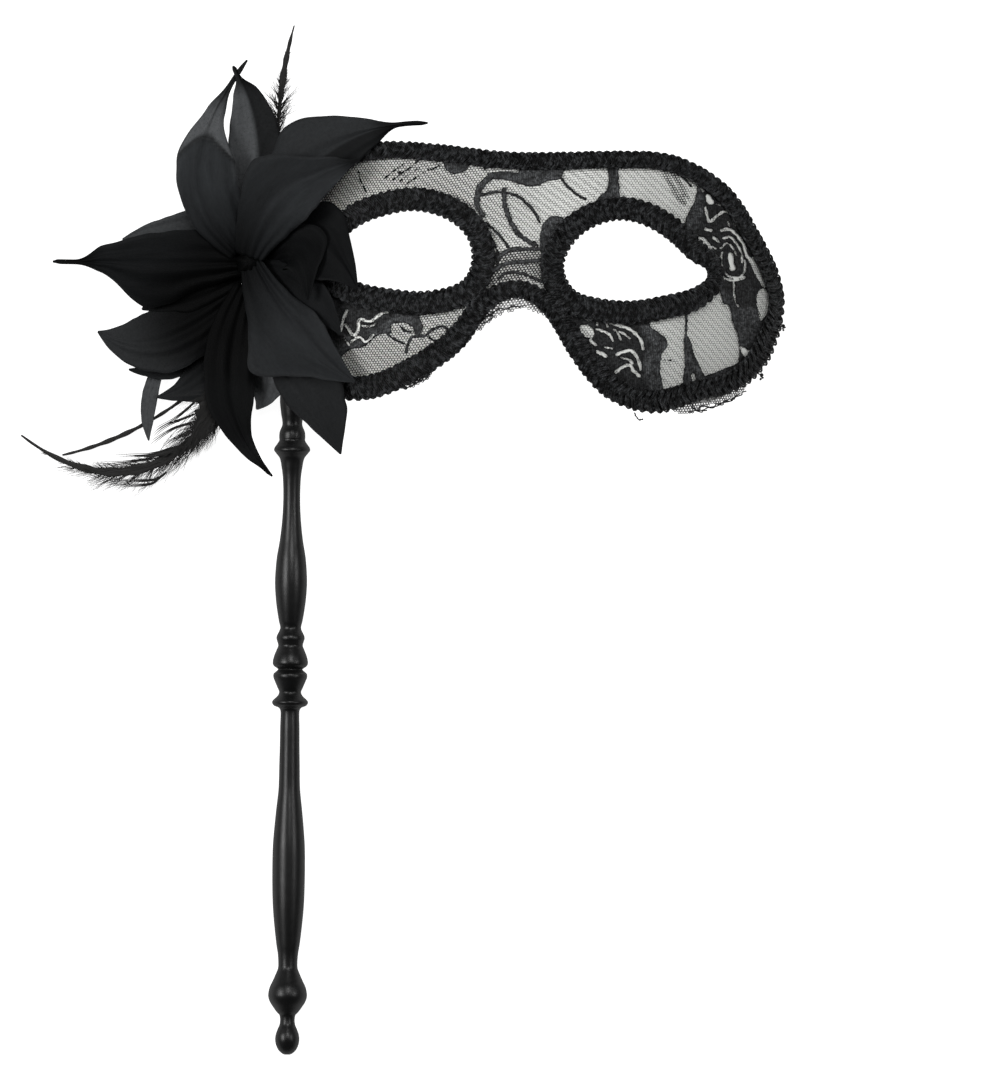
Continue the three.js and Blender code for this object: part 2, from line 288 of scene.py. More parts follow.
def coordinates(tree, kind, scale=(1, 1, 1), turn=0.0):
    # The piece's own coordinates, Object or UV, times scale and turned about Z.
    source = addNode(tree, "ShaderNodeTexCoord")
    place = addNode(tree, "ShaderNodeMapping")
    place.inputs["Scale"].default_value = scale
    place.inputs["Rotation"].default_value = (0.0, 0.0, math.radians(turn))
    tree.links.new(source.outputs[kind], place.inputs["Vector"])
    return place.outputs["Vector"]


def noise(tree, vector, scale, detail=3.0, rough=0.55):
    # Cloudy values from 0 to 1, scale of them to each unit of the vector.
    made = addNode(tree, "ShaderNodeTexNoise", {"Scale": scale, "Detail": detail, "Roughness": rough})
    tree.links.new(vector, made.inputs["Vector"])
    return made.outputs["Fac"]


def threads(tree, vector, period, direction="X", wander=0.0):
    # Sine bands across the vector's X or Y, one every period.
    scale = 2 * math.pi / (20 * period)
    values = {"Scale": scale, "Distortion": wander, "Detail": 1.0, "Detail Scale": 1.5}
    made = addNode(tree, "ShaderNodeTexWave", values, wave_type="BANDS", bands_direction=direction)
    tree.links.new(vector, made.inputs["Vector"])
    return made.outputs["Fac"]


def bumped(tree, shader, height, strength, distance):
    # Shades the surface as if the height, times the distance in metres, stood out of it.
    made = addNode(tree, "ShaderNodeBump", {"Strength": strength, "Distance": distance})
    tree.links.new(height, made.inputs["Height"])
    tree.links.new(made.outputs["Normal"], shader.inputs["Normal"])


def grey(value, warmth=0.0):
    # A grey, a little warmer or cooler.
    return (value * (1 + warmth), value, value * (1 - warmth), 1.0)


# Camera and light

studio = {
    "axis": (0.0332, 0.0004),     # where the photograph's middle falls, row frame
    "height": 10.0,
    "frameWidth": 0.340,
    "sensor": 36.0,
    "sharpHeight": 0.028,         # the height that is seen at the photograph's scale
    "worldStrength": 0.11,
    "lamps": {                    # place, watts and breadth of each
        "keyLight": ((-1.8, 0.3, 1.9), 69.0, 1.1),
        "sideLight": ((1.6, 0.3, 1.9), 20.0, 0.6),
        "topLight": ((0.2, 1.0, 2.4), 37.0, 0.9),
    },
    "floorSize": 6.0,
    "floorTone": 0.25,
    "floorGlow": 0.96,            # the table is lit from within, so no shadow shows on it
}


def aimAtOrigin(thing):
    # Turns an object so that its -Z points at the origin.
    x, y, z = thing.location
    thing.rotation_euler = (math.acos(z / thing.location.length), 0.0, math.atan2(y, x) + math.pi / 2)


def addLight(name, place, power, size):
    # A round lamp that shines towards the origin.
    lamp = bpy.data.lights.new(name, "AREA")
    lamp.shape = "DISK"
    lamp.size = size
    lamp.energy = power
    thing = bpy.data.objects.new(name, lamp)
    thing.location = place
    bpy.context.scene.collection.objects.link(thing)
    aimAtOrigin(thing)


def buildCamera():
    # Looks straight down from high up. Its picture is frameWidth wide at sharpHeight.
    lens = bpy.data.cameras.new("camera")
    lens.sensor_fit = "HORIZONTAL"
    lens.sensor_width = studio["sensor"]
    lens.lens = studio["sensor"] * (studio["height"] - studio["sharpHeight"]) / studio["frameWidth"]
    lens.clip_end = 5 * studio["height"]
    camera = bpy.data.objects.new("camera", lens)
    camera.location = (*studio["axis"], studio["height"])
    bpy.context.scene.collection.objects.link(camera)
    bpy.context.scene.camera = camera
    bpy.context.scene.view_settings.view_transform = "Standard"


def buildRoom():
    # A dim white surround, and the lamps.
    world = bpy.data.worlds.new("room")
    world.use_nodes = True
    background = world.node_tree.nodes["Background"]
    background.inputs["Color"].default_value = grey(1.0)
    background.inputs["Strength"].default_value = studio["worldStrength"]
    bpy.context.scene.world = world
    for name, (place, power, size) in studio["lamps"].items():
        addLight(name, place, power, size)


def buildFloor():
    # A pale table, a little cloudy and lit from within.
    half = studio["floorSize"] / 2
    mesh = bpy.data.meshes.new("floor")
    corners = [(-half, -half, 0), (half, -half, 0), (half, half, 0), (-half, half, 0)]
    mesh.from_pydata(corners, [], [(0, 1, 2, 3)])
    floor = bpy.data.objects.new("floor", mesh)
    bpy.context.scene.collection.objects.link(floor)
    glow = {"Emission Color": grey(1.0), "Emission Strength": studio["floorGlow"]}
    finish, tree, shader = newFinish("paleTable", {"Roughness": 0.7, "Specular IOR Level": 0.2, **glow})
    cloud = noise(tree, coordinates(tree, "Object"), 3.0, 2.0)
    tone = studio["floorTone"]
    tree.links.new(mixed(tree, cloud, grey(tone), grey(tone + 0.02)), shader.inputs["Base Color"])
    mesh.materials.append(finish)


buildCamera()
buildRoom()
buildFloor()
print("stage: camera and light")


# Face of the mask

face = {
    "radius": 108.0,
    "browRadius": 220.0,
    "browMiddle": 5.0,
    "depth": 49.8,
    "noseRise": 6.0,
    "noseHalfWidth": 13.0,
    "noseFade": (35, 45),      # the height where the ridge ends, and over how far it fades
    "socket": (3, 40, 24, 11, 16),     # height, then middle and reach across and along
    "cheek": (2.5, 47, 22, -24, 14),
    "shellThickness": 1.2,
    "braidOverhang": 1.6,
    "bendReach": 60.0,         # degrees round the bend to each side, past the temples
    "gridSpan": (-46.0, 52.0),
}

rimPoints = [
    (0, -3.7), (8.5, -8.5), (20.7, -24.7), (31.4, -35.8), (46.9, -40.8), (62.1, -39.2), (72.2, -36.2),
    (82.7, -27), (89, -13.8), (91.1, -1.8), (88.1, 9.3), (80.8, 22.3), (72.1, 34.9), (62.3, 42.1),
    (49.5, 46.9), (31.5, 47), (12.8, 45.8), (-6, 45.2), (-28, 46.9), (-49, 47), (-65.7, 41.9),
    (-76.5, 32), (-86, 15.3), (-90.9, 0.8), (-85.7, -18.4), (-73.5, -33.9), (-56.9, -40.1),
    (-45, -38.7), (-35, -33.9), (-25, -27.7), (-16.2, -20), (-8.8, -8.9),
]
rightEyePoints = [
    (15.9, 6.8), (17.2, 12.3), (21.1, 17.9), (27, 21.8), (34.8, 23.7), (42.7, 22.1), (51, 17.4),
    (58.1, 11.2), (64.5, 7.4), (59.8, 2.6), (50.4, -0.5), (38.6, -2.9), (27, -2.3), (19.7, -0.1),
]
leftEyePoints = [
    (-16, 8.9), (-18, 16), (-24, 21.2), (-31.6, 23.7), (-37.7, 24), (-45.8, 22.1), (-53.2, 19),
    (-60.1, 13.2), (-65.3, 7.2), (-60.3, 2.7), (-52.4, -0.6), (-43.5, -1.9), (-32.9, -2.5),
    (-23.1, -0.6), (-18.1, 2.3),
]


def swell(x, y, height, acrossAt, acrossReach, alongAt, alongReach):
    # A round swell: its height times the bell curve of each distance from its middle.
    return height * np.exp(-(((x - acrossAt) / acrossReach) ** 2) - ((y - alongAt) / alongReach) ** 2)


def faceHeight(x, y):
    # A cylinder about Y, bent a little about X, plus a ridge for the nose that fades towards the
    # brow, less a round dip at each eye, plus a round swell at each cheek.
    across = face["radius"] - np.sqrt(np.maximum(face["radius"] ** 2 - x * x, 1.0))
    along = (y - face["browMiddle"]) ** 2 / (2 * face["browRadius"])
    top, fade = face["noseFade"]
    nose = face["noseRise"] * np.exp(-((x / face["noseHalfWidth"]) ** 2)) * np.clip((top - y) / fade, 0, 1)
    socket = swell(np.abs(x), y, *face["socket"])
    cheek = swell(np.abs(x), y, *face["cheek"])
    return face["depth"] - across - along + nose - socket + cheek


def faceNormal(x, y):
    # Upright to the slopes of faceHeight, taken over one millimetre.
    h = 0.5
    slopeX = (faceHeight(x + h, y) - faceHeight(x - h, y)) / (2 * h)
    slopeY = (faceHeight(x, y + h) - faceHeight(x, y - h)) / (2 * h)
    return unit(np.stack([-slopeX, -slopeY, np.ones_like(slopeX)], axis=-1))


def onFace(flat, lift):
    # The face over each (x, y), moved outwards by lift.
    x = flat[..., 0]
    y = flat[..., 1]
    base = np.stack([x, y, faceHeight(x, y)], axis=-1)
    return base + faceNormal(x, y) * np.broadcast_to(lift, x.shape)[..., None]


def blocksOf(points):
    # About 4000 points at a time, so that the tables of distances stay small.
    return np.array_split(points, max(1, len(points) // 4000))


def distanceToLine(points, line, closed):
    # Shortest distance from each point to a line of straight pieces.
    a = line if closed else line[:-1]
    b = np.roll(line, -1, axis=0) if closed else line[1:]
    run = (b - a)[None]
    square = np.maximum((run ** 2).sum(-1), 1e-9)
    out = []
    for block in blocksOf(points):
        away = block[:, None] - a[None]
        share = np.clip((away * run).sum(-1) / square, 0, 1)[..., None]
        out.append(np.sqrt(((away - share * run) ** 2).sum(-1).min(axis=1)))
    return np.concatenate(out)


def insideLoop(points, line):
    # Even-odd rule: a point is inside when a ray to its right crosses the loop an odd number of times.
    a = line
    b = np.roll(line, -1, axis=0)
    out = []
    for block in blocksOf(points):
        x = block[:, 0][:, None]
        y = block[:, 1][:, None]
        rise = np.where(np.abs(b[:, 1] - a[:, 1]) < 1e-9, 1e-9, b[:, 1] - a[:, 1])
        hit = (a[:, 1] > y) != (b[:, 1] > y)
        crossing = (b[:, 0] - a[:, 0]) * (y - a[:, 1]) / rise + a[:, 0]
        out.append((hit & (x < crossing)).sum(axis=1) % 2 == 1)
    return np.concatenate(out)


def signedDistance(points, line):
    # Negative inside the loop and positive outside.
    distance = distanceToLine(points, line, True)
    return np.where(insideLoop(points, line), -distance, distance)


shellEdge = loopOf(rimPoints, 360, -face["braidOverhang"])
rightEyeEdge = loopOf(rightEyePoints, 110, face["braidOverhang"])
leftEyeEdge = loopOf(leftEyePoints, 110, face["braidOverhang"])


def outsideMask(points):
    # How far a point lies outside the shell, an eye opening counting as outside.
    rim = signedDistance(points, shellEdge)
    right = signedDistance(points, rightEyeEdge)
    left = signedDistance(points, leftEyeEdge)
    return np.maximum(rim, np.maximum(-right, -left))


def cutCells(flat, rows, columns, field):
    # Keeps the cells whose middle is inside the field, and moves the points between kept and
    # dropped cells onto its edge, along the field's slope.
    cells = gridFaces(rows, columns)
    middles = flat[cells].mean(axis=1)
    keep = field(middles) < 0
    kept = cells[keep]
    usedIn = np.zeros(len(flat), int)
    usedOut = np.zeros(len(flat), int)
    np.add.at(usedIn, kept.ravel(), 1)
    np.add.at(usedOut, cells[~keep].ravel(), 1)
    edge = np.nonzero((usedIn > 0) & (usedOut > 0))[0]
    moved = flat.copy()
    h = 0.05
    for _ in range(3):
        p = moved[edge]
        value = field(p)
        gx = (field(p + [h, 0]) - field(p - [h, 0])) / (2 * h)
        gy = (field(p + [0, h]) - field(p - [0, h])) / (2 * h)
        square = np.maximum(gx ** 2 + gy ** 2, 0.25)
        moved[edge] = p - np.stack([gx, gy], axis=1) * np.clip(value / square, -0.8, 0.8)[:, None]
    used, index = np.unique(kept, return_inverse=True)
    return moved[used], index.reshape(-1, 4)


def faceGrid(pitch):
    # Points of the face's development, an even step round the bend and along Y.
    reach = math.radians(face["bendReach"])
    low, high = face["gridSpan"]
    columns = int(round((high - low) / pitch)) + 1
    rows = int(round(2 * reach * face["radius"] / pitch)) + 1
    angle = np.linspace(-reach, reach, rows)
    y = np.linspace(low, high, columns)
    a, b = np.meshgrid(angle, y, indexing="ij")
    return np.stack([face["radius"] * np.sin(a), b], axis=-1).reshape(-1, 2), rows, columns


# Stiff backing

backing = {
    "pitch": 1.25,
    "tone": (0.66, 0.668, 0.64, 1.0),
    "shade": (0.50, 0.508, 0.49, 1.0),
}


def backingFinish():
    # Moulded card: cloudy tone, fine grain and a few long fibres.
    finish, tree, shader = newFinish("mouldedBacking", {})
    place = coordinates(tree, "Object")
    cloud = noise(tree, place, 60.0, 4.0)
    tree.links.new(mixed(tree, cloud, backing["shade"], backing["tone"]), shader.inputs["Base Color"])
    grain = noise(tree, place, 1400.0, 3.0, 0.6)
    fibre = noise(tree, coordinates(tree, "Object", (2600, 300, 900), 30), 1.0, 2.0)
    height = maths(tree, "ADD", maths(tree, "MULTIPLY", grain, 0.6), maths(tree, "MULTIPLY", fibre, 0.4))
    bumped(tree, shader, height, 0.25, 0.0002)
    tree.links.new(spread(tree, grain, 0.5, 0.75), shader.inputs["Roughness"])
    return finish


def buildBacking():
    # The face's surface inside the mask's outline, thickened underneath.
    kept, cells = cutCells(*faceGrid(backing["pitch"]), outsideMask)
    points = maskToRow(onFace(kept, 0.0))
    piece = makePiece("maskBacking", points, cells.tolist(), backingFinish(), ["mask_shell"], kept)
    thicken(piece, face["shellThickness"], -1.0)


buildBacking()
print("stage: backing")


# Lace: a hexagonal net with woven roses, stems and leaves

lace = {
    "cellWidth": 1.08,
    "rowPitch": 0.80,
    "thread": 0.115,
    "motifPitch": 0.42,
    "lift": 0.42,
    "motifLift": 0.46,
    "cordRise": 0.34,
    "netTone": 0.025,
    "waver": 0.22,      # how far the motifs' edges wander
    "halfHole": 0.76,
    "groundDark": 0.8,
    "rawHole": 0.50,
    "closer": 0.15,     # how much smaller the holes are towards the left, which leaves the net darker there
    "closerFrom": (-20, 25),
    "bareShare": 0.85,  # how wide the bare gaps are of their stated width
    "beadPitch": 1.7,
    "beadShare": (0.55, 0.6),  # a bead line's mean half width, and its swing to both sides
    "edgeAngle": 1.04,  # the net ends there round the bend, in radians
    "rowSpan": (-54, 60),
    "netUnder": 0.55,   # how far the net runs in under a motif's edge, and into a bare gap
    "netInBare": 0.25,
    "holeRange": (0.3, 0.93),
    "rawSteps": 136,    # points round each raw edge
    "cordIn": 0.35,     # how far inside a motif's edge its cord stands
    "cordReach": 0.28,
}

# Motifs in pixels of the photograph, in the order they are laid: a fill or line of thread, a gap
# where the net shows, a bare gap without net, net with a smaller mesh, or a dark ground where the
# thread is closer. Beads are a line of thread that swells and thins. Each is a kind, a width and
# its points, and a width of 0 is a filled outline.
motifs = [
    # over the nose, under the upper braid
    ("thread", 0, [
        (484, 158), (489, 178), (507, 181), (522, 186), (535, 187), (548, 182), (561, 178), (563, 160),
    ]),
    ("gap", 4.2, [(487, 172), (500, 170), (517, 171)]),
    ("thread", 0, [(444, 158), (446, 170), (455, 175), (467, 170), (470, 158)]),
    ("thread", 6.4, [(489, 179), (481, 187), (478, 195), (477, 204)]),
    ("thread", 4.2, [(477, 202), (479, 209), (484, 216)]),
    ("thread", 2.9, [
        (478, 198), (484, 195), (496, 193), (508, 194), (517, 197), (527, 205), (535, 214), (539, 223),
    ]),
    ("beads", 4.8, [
        (504, 190), (505, 206), (508, 215.5), (513, 227), (519.5, 236), (528, 242), (537, 246),
    ]),
    ("thread", 2.4, [(487, 224), (496.5, 233), (505.5, 243.5), (508, 248)]),
    ("thread", 2.4, [(484, 230), (491, 238), (497, 250), (498, 262)]),
    ("thread", 0, [
        (474, 226), (481, 225), (488, 236), (494, 248), (496, 262), (490, 274), (482, 286), (472, 290),
    ]),
    ("thread", 0, [
        (539, 240), (542, 226), (549, 218), (558, 217), (566, 222), (566, 250), (564, 290), (553, 290),
        (547, 273), (541, 258),
    ]),
    ("thread", 4.0, [(497, 261.5), (504.4, 253.6), (514, 249.6), (523.5, 249.8), (538, 249.8)]),
    ("thread", 4.2, [(494, 271.5), (500, 267.5), (508, 264), (518, 262.8), (527.5, 262), (541, 260.5)]),
    ("thread", 3.0, [(499, 279.5), (504, 275), (511, 272.7), (520, 274), (529, 277), (541, 282)]),
    # rosebud and stem over the right eye
    ("thread", 2.4, [(558, 172), (560, 177), (564, 183.6), (573, 192.5), (584.5, 200)]),
    ("thread", 0, [
        (605, 158), (617, 158), (618, 178), (619, 190), (618, 204), (592, 206), (598, 198), (606, 190),
        (608, 178),
    ]),
    ("half", 0, [(658, 168), (663, 168), (676, 189), (686, 204), (682, 206), (672, 192)]),
    ("half", 0, [(667, 168), (671, 168), (683, 186), (689, 198), (685, 197), (678, 187)]),
    ("thread", 2.0, [(676, 172), (683, 178), (690, 186)]),
    # right temple with its rose
    ("thread", 0, [
        (690, 158), (693, 175), (696, 188), (693, 202), (688, 212), (684, 224), (690, 234), (704, 238),
        (712, 250), (714, 264), (714, 280), (719, 292), (723, 303), (729, 307), (731, 320), (736, 332),
        (738, 344), (737, 361), (716, 371), (703, 376), (690, 381), (676, 386), (662, 390), (650, 392),
        (650, 425), (740, 410), (795, 345), (795, 250), (765, 195), (725, 160),
    ]),
    ("dark", 0, [
        (699, 186), (722, 196), (745, 225), (764, 258), (775, 290), (778, 330), (760, 360), (738, 385),
        (700, 405), (655, 415), (655, 396), (700, 381), (731, 367), (744, 345), (758, 334), (757, 309),
        (739, 308), (731, 296), (716, 284), (700, 262), (688, 238), (697, 226), (702, 205),
    ]),
    ("bare", 7.0, [(707.5, 197), (710, 202)]),
    ("bare", 3.0, [
        (704.6, 207), (706, 214), (709, 221.6), (716, 216), (723.7, 211.4), (729, 213), (735, 225.5),
    ]),
    ("bare", 3.4, [(705, 229), (710, 230.5)]),
    ("bare", 3.0, [(713, 237), (718, 242)]),
    ("bare", 3.2, [(715, 255), (715.5, 259)]),
    ("bare", 2.2, [(712, 246), (715, 248)]),
    ("bare", 3.4, [(721, 230), (728, 229), (737, 236), (743, 245), (746, 254), (752, 261)]),
    ("bare", 2.6, [(722, 238), (729, 236.5), (736, 244), (741, 254), (741, 262)]),
    ("bare", 2.2, [(720, 248), (726, 243), (732, 247.5), (735.5, 255)]),
    ("bare", 6.6, [(729.5, 255), (732, 268)]),
    ("bare", 2.4, [(721, 252), (720.5, 263), (724, 272), (731, 277), (739, 277), (744, 270), (744, 260)]),
    ("bare", 2.6, [(719, 275), (726, 279), (735, 280), (744, 277)]),
    ("bare", 2.0, [(693, 183), (696, 185)]),
    ("bare", 1.8, [(700, 188), (702, 191)]),
    ("bare", 1.9, [(716, 204), (720, 205.5)]),
    ("bare", 1.8, [(727, 222), (729, 227)]),
    ("gap", 3.4, [(746, 255), (751, 262), (755, 272)]),
    ("gap", 0, [
        (751, 257), (757, 258), (764, 266), (769, 276), (770, 284), (764, 287), (758, 280), (754, 270),
    ]),
    ("gap", 3.4, [(770, 287), (772, 291)]),
    ("gap", 1.7, [(732.7, 281), (734, 299), (737.6, 306)]),
    ("gap", 0, [
        (758, 290), (764, 288), (768, 293), (768, 304), (764, 316), (760, 320), (757, 310), (756, 300),
    ]),
    ("half", 0, [(739, 309), (757, 309), (757, 334), (741, 334)]),
    ("bare", 0, [(739, 346), (746, 348), (751, 352), (744, 356)]),
    # right cheek: rose beside the nose
    ("thread", 0, [
        (556, 296), (575, 303), (600, 306), (630, 311), (648, 316), (650, 327.5), (659.5, 333.6),
        (667, 344), (661, 355), (659.5, 372), (661, 392), (630, 392), (600, 372), (578, 345),
    ]),
    ("dark", 0, [
        (553, 290), (600, 302), (634, 313), (642, 330), (647, 348), (643, 366), (648, 385), (660, 400),
        (630, 405), (590, 375), (560, 330),
    ]),
    ("bare", 2.4, [(571, 308), (579, 311.5)]),
    ("bare", 2.4, [(584, 309.5), (590, 313), (595, 318), (597, 325)]),
    ("bare", 3.0, [(575, 316), (582, 317.5), (589, 321)]),
    ("bare", 2.2, [(599, 316), (604, 321), (607, 327)]),
    ("bare", 2.2, [(607, 315.5), (614.5, 321.5)]),
    ("gap", 0, [(579, 327), (587, 325.5), (593, 331), (592, 338), (585, 337)]),
    ("bare", 2.8, [(596, 329.5), (603, 331.5), (609, 335)]),
    ("bare", 3.0, [(610, 337), (612, 340.5)]),
    ("bare", 2.4, [(617, 333), (620, 340)]),
    ("bare", 3.6, [(610, 323), (620, 326.5), (629, 329.5), (636, 335.5), (641, 342.5), (642.5, 349)]),
    ("bare", 2.0, [(613, 330), (622, 333.5), (630, 339)]),
    ("bare", 3.4, [(589, 340), (595, 345)]),
    ("bare", 4.4, [(597, 351.5), (605, 356)]),
    ("bare", 2.2, [(604, 347), (612, 349)]),
    ("bare", 3.6, [(616, 355), (623, 351.5), (630, 350.4), (635, 355), (638, 361), (640, 369)]),
    ("bare", 3.6, [(615, 372), (620, 368), (629, 365), (633, 370.3), (638.5, 376)]),
    ("bare", 2.4, [(621, 358), (628, 359.5), (632, 363)]),
    ("bare", 2.0, [(586, 347), (589, 352)]),
    # nets, stem and leaf under the right eye
    ("thread", 1.2, [(664, 360), (670, 360.5), (675, 362)]),
    ("thread", 2.6, [(685.5, 312), (685, 328), (684.7, 342)]),
    ("thread", 0, [(683.5, 336), (687.5, 337), (694, 356), (704, 376), (708, 390), (684, 390), (684, 362)]),
    ("gap", 4.0, [(692, 375), (693, 379)]),
    # left cheek
    ("thread", 0, [
        (322, 286), (360, 296), (396, 300), (420, 300), (419, 312), (423, 330), (412, 340), (402, 338),
        (390, 334), (376, 337), (366, 346), (350, 350), (336, 360), (322, 340),
    ]),
    ("dark", 0, [
        (315, 280), (360, 294), (396, 299), (398, 312), (388, 322), (372, 330), (350, 336), (335, 350),
        (315, 330),
    ]),
    ("bare", 3.6, [(350, 301.5), (351.5, 303)]),
    ("bare", 3.6, [(372, 305), (373, 307)]),
    ("bare", 3.6, [(336, 322), (336.5, 324)]),
    ("bare", 3.4, [(348, 311), (344, 320), (341.5, 331)]),
    ("bare", 3.6, [(347, 325), (354, 335), (359, 330), (360, 320), (371, 321.5), (383, 313.5), (395, 311)]),
    ("bare", 3.0, [(352, 342), (360, 337), (366, 342), (374, 335)]),
    ("bare", 2.0, [(363, 326), (370, 327), (378, 323)]),
    ("bare", 2.0, [(345, 338), (350, 345)]),
    ("gap", 0, [(392, 326), (402, 323), (413, 328), (416, 336), (408, 343), (396, 340)]),
    ("thread", 2.2, [(401, 327), (405, 331), (411, 332)]),
    ("thread", 2.6, [
        (413, 322), (417, 333.6), (424.5, 336.5), (433, 330), (442.7, 326.4), (451, 331), (459, 327),
    ]),
    ("thread", 2.6, [(406.5, 353), (408, 345), (413.6, 337), (422, 336)]),
    ("thread", 2.2, [(388, 334.5), (395.4, 339.7), (406, 344.5)]),
    ("thread", 1.8, [(428, 337), (436, 341), (444, 337)]),
    # left brow
    ("thread", 1.3, [(392, 181), (402, 174), (411, 168), (420, 160)]),
    ("thread", 1.2, [(399, 183), (409, 175.5), (421, 167)]),
    ("thread", 1.2, [(407, 184.5), (417, 178), (429, 170)]),
    ("thread", 1.3, [(385, 179), (395, 171), (405, 164)]),
    ("half", 0, [(494, 256), (520, 249), (543, 256), (549, 284), (520, 280), (490, 286)]),
    ("thread", 1.3, [(359, 172), (362, 182), (367, 193)]),
    ("thread", 1.2, [(432, 170), (440, 166), (446, 160)]),
]

# Raw edges of the lace where it shows past the braid: at the nose notch and below both cheeks
notchEdge = [
    (468, 324), (484, 304), (498, 293), (516, 289), (534, 292), (548, 305), (556, 320), (548, 318.5),
    (540, 314), (532, 311.5), (521, 309), (512, 312), (504, 312),
    (499, 317), (492, 320), (486, 326), (475, 332),
]
rightTear = [
    (672, 400), (684, 398), (700, 394), (722, 386), (742, 379), (747, 384), (740, 392), (727, 399),
    (716, 403), (704, 406.5), (695, 411), (686, 413), (676, 412.5),
]
leftTear = [(408, 374), (424, 364), (433, 368), (431, 374.5), (426, 380), (419, 384.5), (410, 387)]


def layMotif(field, flat, kind, width, outline):
    # Threads take the larger of the field and the depth inside the motif, and gaps the smaller.
    closed = width == 0
    line = fromPhoto(outline)
    steps = 8 * len(outline)
    at = np.arange(steps) / steps if closed else np.linspace(0, 1, steps)
    line = throughPoints(line, at, closed)
    margin = 3
    near = ((flat > line.min(axis=0) - margin) & (flat < line.max(axis=0) + margin)).all(axis=1)
    near = np.nonzero(near)[0]
    if len(near) == 0:
        return
    spot = flat[near]
    if closed:
        depth = -signedDistance(spot, line)
    else:
        half = width * layout["pixel"] / 2 * (lace["bareShare"] if kind == "bare" else 1)
        if kind == "beads":
            count = 200
            run = evenly(line, count)
            length = np.linalg.norm(np.diff(line, axis=0), axis=1).sum()
            beats = np.sin(np.linspace(0, length / lace["beadPitch"] * 2 * np.pi, count))
            gap = np.linalg.norm(spot[:, None] - run[None], axis=-1)
            mean, share = lace["beadShare"]
            depth = (half * (mean + share * beats)[None] - gap).max(axis=1)
        else:
            depth = half - distanceToLine(spot, line, False)
    if kind in ("gap", "bare"):
        field[near] = np.minimum(field[near], -depth)
    else:
        field[near] = np.maximum(field[near], depth)


def ripple(flat, period):
    # Four sine waves in directions a golden angle apart, which never quite repeat.
    total = np.zeros(len(flat))
    for k in range(4):
        way = 2.4 * k + 0.7
        beat = 2 * np.pi / (period * (1 + 0.23 * k))
        total = total + np.sin((flat[:, 0] * math.cos(way) + flat[:, 1] * math.sin(way)) * beat + 1.9 * k)
    return total / 4


def motifField(flat):
    # Depth inside the woven motifs, negative in the net, with edges that wander as stitches do.
    field = np.full(len(flat), -3.0)
    for kind, width, outline in motifs:
        if kind not in ("half", "dark"):
            layMotif(field, flat, kind, width, outline)
    return field + lace["waver"] * (ripple(flat, 1.9) + 0.6 * ripple(flat, 0.95))


def fieldOf(flat, wanted):
    # Depth inside the motifs of one kind alone.
    field = np.full(len(flat), -3.0)
    for kind, width, outline in motifs:
        if kind == wanted:
            layMotif(field, flat, "thread", width, outline)
    return field


rawLines = [
    throughPoints(fromPhoto(edge), np.arange(lace["rawSteps"]) / lace["rawSteps"], True)
    for edge in (notchEdge, rightTear, leftTear)
]


def outsideRaw(points):
    # How far a point lies outside the raw edges' strips, the nearest of them counting.
    return np.minimum.reduce([signedDistance(points, line) for line in rawLines])


def outsideLace(points):
    # The lace covers the mask and shows a little past the braid where it is raw.
    return np.minimum(outsideMask(points) + 0.5, outsideRaw(points))


def stretched(p):
    # The net lies a little askew, pulled in slow waves.
    x = p[..., 0]
    y = p[..., 1]
    lean = y + 0.9 * np.sin(x / 23 + 0.6) + 0.10 * x + 0.35 * np.sin(x / 6.1 + y / 9)
    slide = x + 0.8 * np.sin(y / 17 + x / 40) + 0.3 * np.sin(y / 5.3)
    return np.stack([slide, lean], axis=-1)


def toPlan(p):
    # From the face's development to its plan: radius times the sine of the angle.
    angle = np.clip(p[..., 0] / face["radius"], -lace["edgeAngle"], lace["edgeAngle"])
    return np.stack([face["radius"] * np.sin(angle), p[..., 1]], axis=-1)


def netCells():
    # Staggered hexagons laid over the development of the face, none under a motif or in a bare
    # gap. Each has six corners and a smaller hexagon for its hole, smaller still in half closed
    # and raw net and towards the left.
    w = lace["cellWidth"]
    pitch = lace["rowPitch"]
    tall = pitch / 0.75
    reach = math.radians(face["bendReach"]) * face["radius"]
    low, high = lace["rowSpan"]
    i = np.arange(int(-reach / w), int(reach / w) + 1)
    j = np.arange(int(low / pitch), int(high / pitch) + 1)
    gi, gj = np.meshgrid(i, j, indexing="ij")
    middle = np.stack([((gi + 0.5 * (gj % 2)) * w).ravel(), (gj * pitch).ravel().astype(float)], axis=1)
    corner = np.array([[0.5, 0.25], [0, 0.5], [-0.5, 0.25], [-0.5, -0.25], [0, -0.5], [0.5, -0.25]])
    centre = toPlan(stretched(middle))
    outer = toPlan(stretched(middle[:, None] + corner * [w, tall]))
    raw = outsideRaw(centre) < 0
    clear = (motifField(centre) < lace["netUnder"]) & (fieldOf(centre, "bare") < lace["netInBare"])
    keep = (outsideLace(centre) < 0) & (raw | clear)
    hole = np.where(fieldOf(centre, "half") > 0, lace["halfHole"], 1.0) * np.where(raw, lace["rawHole"], 1.0)
    hole = hole * (1 - lace["thread"] / (0.43 * (w + tall)))
    hole = hole * (1 + 0.10 * np.sin(middle[:, 0] * 1.7 + middle[:, 1] * 2.3))
    hole = hole * (1 - lace["closer"] * softStep(-centre[:, 0], *lace["closerFrom"]))
    hole = np.clip(hole, *lace["holeRange"])[keep]
    outer = outer[keep]
    core = outer.mean(axis=1, keepdims=True)
    return outer, core + (outer - core) * hole[:, None, None]


